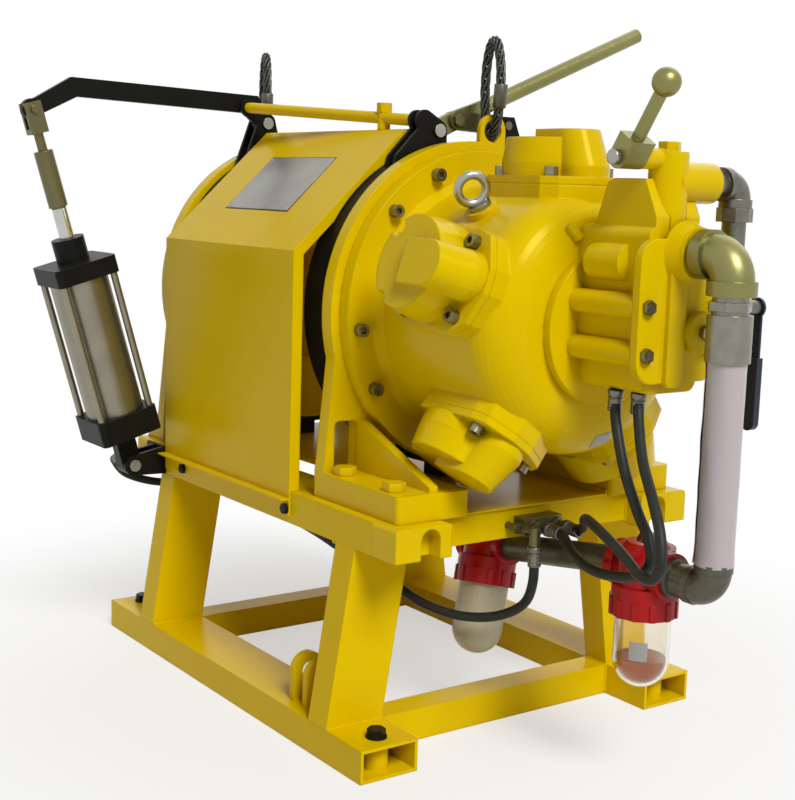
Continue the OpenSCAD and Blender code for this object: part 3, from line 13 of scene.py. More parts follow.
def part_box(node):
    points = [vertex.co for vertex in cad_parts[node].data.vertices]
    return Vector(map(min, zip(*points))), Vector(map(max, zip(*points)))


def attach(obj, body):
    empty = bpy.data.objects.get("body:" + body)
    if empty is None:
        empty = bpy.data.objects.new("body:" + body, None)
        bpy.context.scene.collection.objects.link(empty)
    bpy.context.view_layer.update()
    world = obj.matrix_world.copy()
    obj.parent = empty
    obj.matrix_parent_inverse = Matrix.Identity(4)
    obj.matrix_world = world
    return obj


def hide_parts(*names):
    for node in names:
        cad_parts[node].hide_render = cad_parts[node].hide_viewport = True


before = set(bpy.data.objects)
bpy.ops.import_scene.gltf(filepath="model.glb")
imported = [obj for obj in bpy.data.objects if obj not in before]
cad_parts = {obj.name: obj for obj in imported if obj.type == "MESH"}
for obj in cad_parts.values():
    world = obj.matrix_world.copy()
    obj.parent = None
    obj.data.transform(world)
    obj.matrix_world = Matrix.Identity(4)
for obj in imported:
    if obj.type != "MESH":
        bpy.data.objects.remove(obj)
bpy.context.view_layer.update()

LOG = logging.getLogger("air_winch")
MM = 0.001
Rgb = tuple[float, float, float]
Point = tuple[float, float, float]
Piece = bpy.types.Object
Tree = bpy.types.NodeTree
Socket = bpy.types.NodeSocket
Sockets = bpy.types.NodeInputs


def mm(*values: float) -> Vector:
    """A point in metres from coordinates in millimetres."""
    return Vector(values) * MM


def toward(azimuth: float, elevation: float) -> Vector:
    """Direction from the winch at an azimuth from -Y towards +X and an elevation, in degrees."""
    az, el = math.radians(azimuth), math.radians(elevation)
    return Vector((math.sin(az) * math.cos(el), -math.cos(az) * math.cos(el), math.sin(el)))


class Pattern(Enum):
    """How the surface of a finish varies."""

    PAINT = "paint"
    CAST = "cast"
    BRUSHED = "brushed"
    SPANGLE = "spangle"


@dataclass(frozen=True)
class Finish:
    """One finish of the winch. Lengths are in millimetres and colours are linear."""

    name: str
    colour: Rgb
    tone: Rgb
    roughness: float
    spread: float = 0.06
    metallic: float = 0.0
    coat: float = 0.0
    coat_roughness: float = 0.08
    specular: float = 0.5
    tint: Rgb = (1.0, 1.0, 1.0)
    pattern: Pattern = Pattern.PAINT
    grain: float = 4.0
    depth: float = 0.05
    edge: float = 1.6
    # The corner mask and its colour below paint shade into corners and hollows found by ambient occlusion,
    # mixed with dirt; on the yellow and red paint the colour is a darker tone of the paint, painted shade,
    # and on black paint and rubber it is lighter, as dust.
    soil: float = 0.25
    soil_colour: Rgb = (0.035, 0.026, 0.012)
    wear: float = 0.0
    wear_colour: Rgb = (0.23, 0.21, 0.17)
    transmission: float = 0.0
    ior: float = 1.5


@dataclass(frozen=True)
class Band:
    """A stretch of a node, along a line, that has a finish of its own."""

    finish: Finish
    origin: Point
    axis: Point
    start: float
    end: float


# The deep orange corner colour of the two yellows, and the dark red one of the red paint, is the paint's
# own tone in shade: painted shade in corners and hollows.
YELLOW = Finish("yellow_enamel", (0.74, 0.515, 0.0), (0.71, 0.485, 0.0), 0.25, spread=0.02,
                specular=0.11, tint=(1.0, 0.80, 0.16), grain=6.0, depth=0.004, edge=2.2, soil=0.34,
                soil_colour=(0.20, 0.105, 0.0), wear=0.12, wear_colour=(0.36, 0.22, 0.01))
CAST_YELLOW = Finish("yellow_casting", (0.74, 0.53, 0.0), (0.70, 0.485, 0.0), 0.22, spread=0.02,
                     specular=0.19, tint=(1.0, 0.82, 0.18), pattern=Pattern.CAST, grain=12.0, depth=0.035,
                     edge=4.0, soil=0.42, soil_colour=(0.19, 0.09, 0.0), wear=0.04,
                     wear_colour=(0.40, 0.25, 0.01))
BLACK = Finish("black_paint", (0.006, 0.006, 0.0045), (0.010, 0.0095, 0.007), 0.36, spread=0.03,
               specular=0.09, grain=3.0, depth=0.010, edge=1.2, soil=0.10,
               soil_colour=(0.04, 0.033, 0.018), wear=0.25, wear_colour=(0.09, 0.085, 0.07))
LINING = Finish("friction_lining", (0.07, 0.055, 0.04), (0.045, 0.036, 0.028), 0.85, specular=0.2,
                pattern=Pattern.CAST, grain=1.6, depth=0.10, edge=0.4, soil=0.2)
BRIGHT = Finish("bright_steel", (0.40, 0.395, 0.36), (0.33, 0.325, 0.29), 0.28, spread=0.05, metallic=1.0,
                pattern=Pattern.BRUSHED, grain=0.9, depth=0.004, edge=0.8, soil=0.35)
SHAFT = Finish("ground_steel", (0.45, 0.44, 0.42), (0.38, 0.37, 0.35), 0.22, spread=0.03, metallic=1.0,
               pattern=Pattern.BRUSHED, grain=0.6, depth=0.003, edge=0.6, soil=0.2)
ZINC = Finish("zinc_yellow", (0.275, 0.262, 0.10), (0.215, 0.20, 0.068), 0.36, spread=0.05, metallic=0.85,
              grain=7.0, depth=0.008, edge=0.9, soil=0.22)
ZINC_DARK = Finish("zinc_olive", (0.13, 0.12, 0.055), (0.16, 0.145, 0.065), 0.36, spread=0.05, metallic=0.8,
                   grain=8.0, depth=0.010, edge=1.1, soil=0.25)
BOLT = Finish("plated_bolts", (0.31, 0.285, 0.17), (0.20, 0.18, 0.09), 0.28, spread=0.05, metallic=0.9,
              pattern=Pattern.SPANGLE, grain=3.0, depth=0.008, edge=0.5, soil=0.35)
GALV = Finish("galvanised", (0.20, 0.19, 0.16), (0.14, 0.133, 0.108), 0.36, spread=0.06, metallic=0.9,
              pattern=Pattern.SPANGLE, grain=6.0, depth=0.03, edge=1.4, soil=0.35)
PIPE = Finish("galvanised_pipe", (0.28, 0.27, 0.23), (0.21, 0.20, 0.165), 0.34, spread=0.05, metallic=0.95,
              pattern=Pattern.SPANGLE, grain=10.0, depth=0.012, edge=1.0, soil=0.3)
DARK_PIPE = Finish("dark_fitting", (0.12, 0.115, 0.085), (0.085, 0.08, 0.055), 0.38, spread=0.05,
                   metallic=0.7, pattern=Pattern.SPANGLE, grain=7.0, depth=0.03, edge=1.4, soil=0.35)
ALLOY = Finish("cylinder_alloy", (0.29, 0.27, 0.205), (0.25, 0.23, 0.175), 0.37, spread=0.03, metallic=0.95,
               pattern=Pattern.BRUSHED, grain=1.4, depth=0.003, edge=0.8, soil=0.25)
CHROME = Finish("chrome_rod", (0.55, 0.55, 0.53), (0.50, 0.50, 0.48), 0.12, spread=0.02, metallic=1.0,
                pattern=Pattern.BRUSHED, grain=0.5, depth=0.002, edge=0.6, soil=0.1)
RED = Finish("red_paint", (0.46, 0.004, 0.006), (0.36, 0.003, 0.004), 0.24, spread=0.03, specular=0.22,
             pattern=Pattern.CAST, grain=5.0, depth=0.02, edge=2.2, soil=0.30,
             soil_colour=(0.10, 0.002, 0.002))
CLEAR = Finish("clear_bowl", (0.95, 0.92, 0.84), (0.94, 0.90, 0.81), 0.06, spread=0.03, grain=20.0,
               depth=0.01, edge=0.5, soil=0.0, transmission=1.0, ior=1.45)
OIL = Finish("amber_oil", (0.60, 0.16, 0.025), (0.50, 0.12, 0.018), 0.12, grain=20.0, depth=0.0, edge=0.3,
             soil=0.0, transmission=0.5, ior=1.40)
MILKY = Finish("milky_bowl", (0.47, 0.43, 0.30), (0.40, 0.365, 0.25), 0.30, specular=0.4, grain=12.0,
               depth=0.01, edge=1.0, soil=0.2)
RUBBER = Finish("hose_rubber", (0.014, 0.015, 0.012), (0.022, 0.023, 0.018), 0.46, specular=0.22,
                grain=1.3, depth=0.03, edge=0.4, soil=0.10,
                soil_colour=(0.05, 0.045, 0.03))
ROPE = Finish("wire_rope", (0.085, 0.083, 0.072), (0.045, 0.043, 0.036), 0.36, metallic=0.85,
              grain=1.2, depth=0.05, edge=0.3, soil=0.3)
GRIP = Finish("dipped_grip", (0.010, 0.014, 0.034), (0.014, 0.018, 0.04), 0.34, specular=0.3, grain=5.0,
              depth=0.02, edge=1.8, soil=0.1)
PLATE = Finish("plate_silver", (0.36, 0.36, 0.32), (0.32, 0.32, 0.285), 0.36, spread=0.04, metallic=0.55,
               pattern=Pattern.BRUSHED, grain=1.1, depth=0.003, edge=0.3, soil=0.2)
PLATE_EDGE = Finish("plate_border", (0.016, 0.015, 0.013), (0.024, 0.022, 0.018), 0.42, specular=0.2,
                    edge=0.2, soil=0.1)
FILM = Finish("wrap_film", (0.50, 0.44, 0.465), (0.43, 0.375, 0.40), 0.34, coat=0.2, coat_roughness=0.16,
              grain=30.0, depth=0.2, edge=0.4, soil=0.2, soil_colour=(0.32, 0.28, 0.28))
STICKER = Finish("blank_sticker", (0.36, 0.355, 0.34), (0.32, 0.31, 0.30), 0.34, grain=8.0, depth=0.02,
                 edge=0.2, soil=0.2)


def feed(tree: Tree, target: Socket, value: object) -> None:
    """Links a socket to a target, or sets a constant on it."""
    if isinstance(value, Socket):
        tree.links.new(value, target)
    else:
        target.default_value = value


def maths(tree: Tree, operation: str, *values: object, clamp: bool = False
          ) -> Socket:
    """A Math node.

    Args:
        tree: The node tree.
        operation: Its operation.
        values: A socket or a number for each input.
        clamp: Whether the result is kept within 0 and 1.

    Returns:
        The socket with the result.
    """
    node = tree.nodes.new("ShaderNodeMath")
    node.operation = operation
    node.use_clamp = clamp
    for target, value in zip(node.inputs, values):
        feed(tree, target, value)
    return node.outputs[0]


def vector_maths(tree: Tree, operation: str, *values: object, result: str = "Vector"
                 ) -> Socket:
    """A Vector Math node.

    Args:
        tree: The node tree.
        operation: Its operation.
        values: A socket or a vector for each input.
        result: Which output is wanted, Vector or Value.

    Returns:
        The socket with the result.
    """
    node = tree.nodes.new("ShaderNodeVectorMath")
    node.operation = operation
    for target, value in zip(node.inputs, values):
        feed(tree, target, value)
    return node.outputs[result]


def ranged(tree: Tree, value: Socket, low: float, high: float
           ) -> Socket:
    """A value stretched from low..high to 0..1, and kept within them."""
    node = tree.nodes.new("ShaderNodeMapRange")
    node.inputs["From Min"].default_value = low
    node.inputs["From Max"].default_value = high
    tree.links.new(value, node.inputs["Value"])
    return node.outputs["Result"]


class NodeGroups:
    """Shader node groups that the finishes share, each built once."""

    FIELD = ("Broad", "Fine", "Height")

    def __init__(self) -> None:
        """Starts with none built."""
        self._built: dict[str, Tree] = {}

    def get(self, name: str) -> Tree:
        """The group of that name, built on first use."""
        if name not in self._built:
            self._built[name] = getattr(self, "_" + name)()
        return self._built[name]

    @staticmethod
    def _tree(name: str, inputs: dict[str, Optional[float]], outputs: Sequence[str]
              ) -> tuple[Tree, Sockets, Sockets]:
        """A new group with its sockets.

        Args:
            name: Name of the group.
            inputs: Default of each number, or None for a vector.
            outputs: Name of each output, all of them numbers.

        Returns:
            The tree, the sockets that its inputs give, and those that its outputs take.
        """
        tree = bpy.data.node_groups.new(name, "ShaderNodeTree")
        for label, default in inputs.items():
            kind = "NodeSocketVector" if default is None else "NodeSocketFloat"
            socket = tree.interface.new_socket(label, in_out="INPUT", socket_type=kind)
            if default is not None:
                socket.default_value = default
        for label in outputs:
            tree.interface.new_socket(label, in_out="OUTPUT", socket_type="NodeSocketFloat")
        return tree, tree.nodes.new("NodeGroupInput").outputs, tree.nodes.new("NodeGroupOutput").inputs

    @staticmethod
    def _noise(tree: Tree, vector: Socket, size: object,
               share: float, detail: float, low: float, high: float) -> Socket:
        """Noise whose grains measure share of size, stretched from low..high to 0..1.

        Args:
            tree: The node tree.
            vector: Object coordinates in metres.
            size: Grain size in millimetres, a socket or a number.
            share: Factor on the grain size.
            detail: Octaves.
            low: Noise value that gives 0.
            high: Noise value that gives 1.

        Returns:
            The socket with the value.
        """
        noise = tree.nodes.new("ShaderNodeTexNoise")
        noise.inputs["Detail"].default_value = detail
        tree.links.new(vector, noise.inputs["Vector"])
        tree.links.new(maths(tree, "DIVIDE", 1000.0 / share, size), noise.inputs["Scale"])
        return ranged(tree, noise.outputs["Fac"], low, high)

    @staticmethod
    def _blend(tree: Tree, share: object, first: Socket,
               second: Socket) -> Socket:
        """A mix of two values, by the share of the second."""
        mix = tree.nodes.new("ShaderNodeMix")
        for slot, value in ((0, share), (2, first), (3, second)):
            feed(tree, mix.inputs[slot], value)
        return mix.outputs[0]

    def _surface(self) -> Tree:
        """Broad and fine variation of paint or metal, and its height."""
        tree, given, wanted = self._tree("surface_field", {"Vector": None, "Grain": 4.0, "Cast": 0.0},
                                         self.FIELD)
        place, grain = given["Vector"], given["Grain"]
        fine = self._noise(tree, place, grain, 1.0, 2.0, 0.3, 0.7)
        pits = self._noise(tree, place, grain, 0.28, 3.0, 0.36, 0.62)
        height = maths(tree, "MULTIPLY_ADD", self._blend(tree, given["Cast"], fine, pits), 0.45,
                       maths(tree, "MULTIPLY", fine, 0.55))
        tree.links.new(self._noise(tree, place, grain, 14.0, 3.0, 0.3, 0.7), wanted["Broad"])
        tree.links.new(fine, wanted["Fine"])
        tree.links.new(height, wanted["Height"])
        return tree

    def _brushed(self) -> Tree:
        """Fine turned or drawn streaks."""
        tree, given, wanted = self._tree("brushed_streaks", {"Vector": None, "Grain": 1.0}, self.FIELD)
        place, grain = given["Vector"], given["Grain"]
        drawn = vector_maths(tree, "MULTIPLY", place, (0.08, 0.5, 1.0))
        streak = self._noise(tree, drawn, grain, 1.0, 3.0, 0.3, 0.7)
        tree.links.new(streak, wanted["Fine"])
        tree.links.new(streak, wanted["Height"])
        tree.links.new(self._noise(tree, place, grain, 30.0, 3.0, 0.3, 0.7), wanted["Broad"])
        return tree

    def _spangle(self) -> Tree:
        """Crystals of zinc, with clouds of plating tone over them."""
        tree, given, wanted = self._tree("zinc_spangle", {"Vector": None, "Grain": 6.0}, self.FIELD)
        place, grain = given["Vector"], given["Grain"]
        cells = tree.nodes.new("ShaderNodeTexVoronoi")
        tree.links.new(place, cells.inputs["Vector"])
        tree.links.new(maths(tree, "DIVIDE", 1000.0, grain), cells.inputs["Scale"])
        tone = tree.nodes.new("ShaderNodeSeparateColor")
        tree.links.new(cells.outputs["Color"], tone.inputs[0])
        clouds = self._noise(tree, place, grain, 3.0, 4.0, 0.3, 0.7)
        tree.links.new(self._blend(tree, 0.3, clouds, tone.outputs[0]), wanted["Broad"])
        tree.links.new(tone.outputs[1], wanted["Fine"])
        tree.links.new(self._noise(tree, place, grain, 0.3, 3.0, 0.3, 0.7), wanted["Height"])
        return tree

    def _broken(self, tree: Tree, given: Sockets, where: Socket,
                noise: Socket) -> Socket:
        """A mask broken up by noise, times the group's Amount."""
        return maths(tree, "MULTIPLY", maths(tree, "MULTIPLY", where, noise), given["Amount"], clamp=True)

    def _soil(self) -> Tree:
        """Painted shade and dirt in corners and hollows, from ambient occlusion, broken up by noise."""
        tree, given, wanted = self._tree("corner_soil", {"Vector": None, "Amount": 0.3}, ("Mask",))
        # Ambient occlusion finds the corners and hollows where shade falls; the mask paints shade there,
        # with some dirt.
        hollow = tree.nodes.new("ShaderNodeAmbientOcclusion")
        hollow.samples = 4
        hollow.inputs["Distance"].default_value = 0.022
        shut = ranged(tree, hollow.outputs["AO"], 0.78, 0.30)
        noise = self._noise(tree, given["Vector"], 10.0, 1.0, 4.0, 0.2, 0.7)
        tree.links.new(self._broken(tree, given, shut, noise), wanted["Mask"])
        return tree

    def _worn_edge(self) -> Tree:
        """Small rubbed places along the edges."""
        tree, given, wanted = self._tree("worn_edge", {"Vector": None, "Amount": 0.2}, ("Mask",))
        rounded = tree.nodes.new("ShaderNodeBevel")
        rounded.samples = 4
        rounded.inputs["Radius"].default_value = 0.0022
        true = tree.nodes.new("ShaderNodeNewGeometry").outputs["Normal"]
        turned = vector_maths(tree, "DOT_PRODUCT", rounded.outputs[0], true, result="Value")
        noise = self._noise(tree, given["Vector"], 7.0, 1.0, 5.0, 0.52, 0.66)
        edge = ranged(tree, turned, 0.97, 0.80)
        tree.links.new(self._broken(tree, given, edge, noise), wanted["Mask"])
        return tree

    def _band(self) -> Tree:
        """1 where a point lies between Start and End along Axis from Origin."""
        tree, given, wanted = self._tree(
            "band_mask", {"Vector": None, "Origin": None, "Axis": None, "Start": 0.0, "End": 1.0},
            ("Mask",))
        away = vector_maths(tree, "SUBTRACT", given["Vector"], given["Origin"])
        along = vector_maths(tree, "DOT_PRODUCT", away, given["Axis"], result="Value")
        after = maths(tree, "GREATER_THAN", along, given["Start"])
        before = maths(tree, "LESS_THAN", along, given["End"])
        tree.links.new(maths(tree, "MULTIPLY", after, before), wanted["Mask"])
        return tree


GROUPS = NodeGroups()


@dataclass
class Layer:
    """The sockets that a finish gives inside one material."""

    colour: Socket
    roughness: Socket
    height: Socket


class Painter:
    """Makes materials from finishes and gives them to pieces and nodes."""

    PATTERN_GROUP = {Pattern.PAINT: "surface", Pattern.CAST: "surface", Pattern.BRUSHED: "brushed",
                     Pattern.SPANGLE: "spangle"}

    def __init__(self) -> None:
        """Starts with no materials."""
        self._made: dict[str, bpy.types.Material] = {}

    @staticmethod
    def _group(tree: Tree, name: str) -> bpy.types.Node:
        """Places a shared group in a material."""
        node = tree.nodes.new("ShaderNodeGroup")
        node.node_tree = GROUPS.get(name)
        return node

    def _mix(self, tree: Tree, mask: Socket, first: object, second: object,
             colour: bool = True) -> Socket:
        """Mixes two colours or two values.

        Args:
            tree: The material's tree.
            mask: Socket with the share of the second.
            first: Socket or constant.
            second: Socket or constant.
            colour: Whether these are colours.

        Returns:
            The socket with the mix.
        """
        node = tree.nodes.new("ShaderNodeMix")
        node.data_type = "RGBA" if colour else "FLOAT"
        slots = (6, 7) if colour else (2, 3)
        tree.links.new(mask, node.inputs[0])
        for slot, value in zip(slots, (first, second)):
            feed(tree, node.inputs[slot], (*value, 1.0) if isinstance(value, tuple) else value)
        return node.outputs[2 if colour else 0]

    def _layer(self, tree: Tree, place: Socket, finish: Finish) -> Layer:
        """Builds one finish in a material, without its shader.

        Args:
            tree: The material's tree.
            place: Object coordinates.
            finish: What to build.

        Returns:
            The sockets for the shader.
        """
        base = self._group(tree, self.PATTERN_GROUP[finish.pattern])
        tree.links.new(place, base.inputs["Vector"])
        base.inputs["Grain"].default_value = finish.grain
        if "Cast" in base.inputs:
            base.inputs["Cast"].default_value = 1.0 if finish.pattern is Pattern.CAST else 0.0
        colour = self._mix(tree, base.outputs["Broad"], finish.colour, finish.tone)
        # Worn edges, then painted shade and dirt in the corners, go over the mottled colour.
        for name, amount, over in (("worn_edge", finish.wear, finish.wear_colour),
                                   ("soil", finish.soil, finish.soil_colour)):
            if amount > 0:
                mask = self._group(tree, name)
                tree.links.new(place, mask.inputs["Vector"])
                mask.inputs["Amount"].default_value = amount
                colour = self._mix(tree, mask.outputs["Mask"], colour, over)
        rough = tree.nodes.new("ShaderNodeMapRange")
        rough.inputs["To Min"].default_value = max(finish.roughness - finish.spread, 0.02)
        rough.inputs["To Max"].default_value = finish.roughness + finish.spread
        tree.links.new(base.outputs["Fine"], rough.inputs["Value"])
        return Layer(colour, rough.outputs["Result"], base.outputs["Height"])

    def material(self, finish: Finish, bands: Sequence[Band] = ()) -> bpy.types.Material:
        """The material of a finish, with bands of others along it.

        Args:
            finish: The main finish.
            bands: Stretches that differ.

        Returns:
            The material, made once for each set.
        """
        key = "_".join([finish.name] + [band.finish.name + "%d" % (band.start * 1e4) for band in bands])
        if key in self._made:
            return self._made[key]
        made = bpy.data.materials.new(key)
        made.use_nodes = True
        tree = made.node_tree
        shader = tree.nodes["Principled BSDF"]
        place = tree.nodes.new("ShaderNodeTexCoord").outputs["Object"]
        layer = self._layer(tree, place, finish)
        colour, rough, metal = layer.colour, layer.roughness, finish.metallic
        for band in bands:
            other = self._layer(tree, place, band.finish)
            mask = self._group(tree, "band")
            tree.links.new(place, mask.inputs["Vector"])
            for socket, value in (("Origin", band.origin), ("Axis", band.axis), ("Start", band.start),
                                  ("End", band.end)):
                mask.inputs[socket].default_value = value
            share = mask.outputs["Mask"]
            colour = self._mix(tree, share, colour, other.colour)
            rough = self._mix(tree, share, rough, other.roughness, colour=False)
            metal = self._mix(tree, share, metal, band.finish.metallic, colour=False)
        tree.links.new(colour, shader.inputs["Base Color"])
        tree.links.new(rough, shader.inputs["Roughness"])
        feed(tree, shader.inputs["Metallic"], metal)
        for socket, value in (("Coat Weight", finish.coat), ("Coat Roughness", finish.coat_roughness),
                              ("Specular IOR Level", finish.specular),
                              ("Specular Tint", (*finish.tint, 1.0)), ("IOR", finish.ior),
                              ("Transmission Weight", finish.transmission)):
            shader.inputs[socket].default_value = value
        soft = tree.nodes.new("ShaderNodeBevel")
        soft.samples = 6
        soft.inputs["Radius"].default_value = finish.edge * MM
        bump = tree.nodes.new("ShaderNodeBump")
        bump.inputs["Strength"].default_value = 0.5
        bump.inputs["Distance"].default_value = finish.depth * MM
        tree.links.new(layer.height, bump.inputs["Height"])
        tree.links.new(soft.outputs[0], bump.inputs["Normal"])
        tree.links.new(bump.outputs[0], shader.inputs["Normal"])
        self._made[key] = made
        return made

    def dress(self, target: Piece, finish: Finish, bands: Sequence[Band] = ()) -> None:
        """Gives an object one material, on every face.

        Args:
            target: A CAD node's object or a piece.
            finish: Its finish.
            bands: Stretches with a finish of their own.
        """
        made = self.material(finish, bands)
        if target.material_slots:
            for slot in target.material_slots:
                slot.material = made
        else:
            target.data.materials.append(made)


PAINTER = Painter()


class Bench:
    """Modelling moves, as by hand, on one object at a time."""

    @staticmethod
    def clear() -> None:
        """Leaves edit mode and deselects everything."""
        if bpy.context.object and bpy.context.object.mode != "OBJECT":
            bpy.ops.object.mode_set(mode="OBJECT")
        bpy.ops.object.select_all(action="DESELECT")

    @classmethod
    def take(cls, piece: Piece) -> Piece:
        """Selects a piece alone and makes it active."""
        cls.clear()
        piece.select_set(True)
        bpy.context.view_layer.objects.active = piece
        return piece

    @classmethod
    def name(cls, label: str) -> Piece:
        """Names the active object and its data."""
        piece = bpy.context.object
        piece.name = label
        piece.data.name = label
        return piece

    @classmethod
    def settle(cls, piece: Piece) -> Piece:
        """Puts a piece's place, turn and size into its mesh."""
        cls.take(piece)
        bpy.ops.object.transform_apply(location=True, rotation=True, scale=True)
        return piece

    @classmethod
    def modify(cls, piece: Piece, kind: str, **values: object) -> None:
        """Adds a modifier, sets its values and applies it."""
        cls.take(piece)
        bpy.ops.object.modifier_add(type=kind)
        modifier = piece.modifiers[-1]
        for key, value in values.items():
            setattr(modifier, key, value)
        bpy.ops.object.modifier_apply(modifier=modifier.name)

    @classmethod
    def done(cls, piece: Piece, angle: float = 40.0) -> Piece:
        """Back to object mode, with smooth shading below an angle in degrees."""
        cls.take(piece)
        bpy.ops.object.shade_smooth_by_angle(angle=math.radians(angle))
        return piece

    @classmethod
    def block(cls, label: str, size: Vector, place: Vector, turn: Matrix, bevel: float = 0.0
              ) -> Piece:
        """A block with rounded edges.

        Args:
            label: Name of the piece.
            size: Lengths along its own axes in metres.
            place: Centre.
            turn: Rotation as a 3 by 3 matrix.
            bevel: Edge radius in metres.

        Returns:
            The piece.
        """
        cls.clear()
        bpy.ops.mesh.primitive_cube_add(size=1.0)
        piece = cls.name(label)
        piece.scale = size
        cls.settle(piece)
        if bevel:
            cls.modify(piece, "BEVEL", width=bevel, segments=2, limit_method="ANGLE")
        piece.matrix_world = Matrix.Translation(place) @ turn.to_4x4()
        return cls.settle(piece)

    @classmethod
    def lathe(cls, label: str, outline: Sequence[tuple[float, float]], place: Vector, axis: Vector,
              steps: int = 40) -> Piece:
        """A turned piece, spun from its outline.

        Args:
            label: Name of the piece.
            outline: Radius and height of each point, in millimetres.
            place: Point where height is 0.
            axis: Direction of height.
            steps: Faces round the axis.

        Returns:
            The piece.
        """
        cls.clear()
        bpy.ops.mesh.primitive_plane_add(size=1.0)
        piece = cls.name(label)
        bpy.ops.object.mode_set(mode="EDIT")
        mesh = bmesh.from_edit_mesh(piece.data)
        bmesh.ops.delete(mesh, geom=list(mesh.verts), context="VERTS")
        points = [mesh.verts.new((radius * MM, 0.0, height * MM)) for radius, height in outline]
        for first, second in zip(points, points[1:]):
            mesh.edges.new((first, second))
        bmesh.update_edit_mesh(piece.data)
        bpy.ops.mesh.select_all(action="SELECT")
        bpy.ops.mesh.spin(steps=steps, angle=2 * math.pi, center=(0, 0, 0), axis=(0, 0, 1))
        bpy.ops.mesh.select_all(action="SELECT")
        bpy.ops.mesh.remove_doubles(threshold=1e-6)
        bpy.ops.mesh.normals_make_consistent(inside=False)
        bpy.ops.object.mode_set(mode="OBJECT")
        piece.matrix_world = Matrix.Translation(place) @ axis.to_track_quat("Z", "Y").to_matrix().to_4x4()
        return cls.settle(piece)

    @classmethod
    def join(cls, label: str, pieces: Sequence[Piece]) -> Piece:
        """Joins pieces into one of that name."""
        cls.take(pieces[0])
        for piece in pieces:
            piece.select_set(True)
        if len(pieces) > 1:
            bpy.ops.object.join()
        joined = cls.name(label)
        return cls.settle(joined)

    @classmethod
    def line(cls, label: str, points: Sequence[Vector], radius: float,
             widths: Optional[Sequence[float]] = None, closed: bool = False, sides: int = 4) -> Piece:
        """A round cord along points, as a curve with closed ends.

        Args:
            label: Name of the piece.
            points: Its centreline in metres.
            radius: Radius in metres.
            widths: Factor on the radius at each point.
            closed: Whether it is a ring.
            sides: Resolution of its round section.

        Returns:
            The curve object.
        """
        cls.clear()
        bpy.ops.curve.primitive_nurbs_path_add()
        piece = cls.name(label)
        curve = piece.data
        curve.splines.clear()
        spline = curve.splines.new("POLY")
        spline.points.add(len(points) - 1)
        for index, (target, point) in enumerate(zip(spline.points, points)):
            target.co = (*point, 1.0)
            target.radius = widths[index] if widths else 1.0
        spline.use_cyclic_u = closed
        spline.use_smooth = True
        curve.dimensions = "3D"
        curve.bevel_depth = radius
        curve.bevel_resolution = sides
        curve.use_fill_caps = not closed
        return piece

    @classmethod
    def meshed(cls, piece: Piece) -> Piece:
        """Turns a curve piece into a mesh."""
        cls.take(piece)
        bpy.ops.object.convert(target="MESH")
        return cls.settle(bpy.context.object)


def flowing(points: Sequence[Vector], steps: int = 7) -> list[Vector]:
    """A smooth line through points.

    Args:
        points: The points to pass.
        steps: Points on each stretch.

    Returns:
        The points of the line.
    """
    line: list[Vector] = []
    for index in range(len(points) - 1):
        before = points[max(index - 1, 0)]
        start, end = points[index], points[index + 1]
        after = points[min(index + 2, len(points) - 1)]
        for step in range(steps):
            t = step / steps
            line.append(0.5 * (2 * start + (end - before) * t
                               + (2 * before - 5 * start + 4 * end - after) * t * t
                               + (3 * start - before - 3 * end + after) * t ** 3))
    line.append(points[-1])
    return line


@dataclass
class Assembly:
    """A sub-assembly: its CAD nodes with their finishes, and the pieces that it adds."""

    NODES: ClassVar[dict[Finish, str]] = {}
    body: str = "frame"

    def dress_nodes(self) -> None:
        """Gives the CAD nodes named under each finish that finish."""
        for finish, names in self.NODES.items():
            for name in names.split():
                PAINTER.dress(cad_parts[name], finish)

    def build(self) -> None:
        """Adds the pieces of the sub-assembly, here none."""

    def keep(self, piece: Piece, finish: Finish, slot: str, body: Optional[str] = None,
             angle: float = 40.0) -> Piece:
        """Dresses a piece, makes it ride on its body and reports it.

        Args:
            piece: The finished piece.
            finish: Its finish.
            slot: Not used; names a material slot.
            body: CAD body that it rides on, or that of the assembly.
            angle: Smooth shading limit in degrees.

        Returns:
            The piece.
        """
        if piece.type == "MESH":
            Bench.done(piece, angle)
        PAINTER.dress(piece, finish)
        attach(piece, body or self.body)
        LOG.info("%s on %s", piece.name, body or self.body)
        return piece


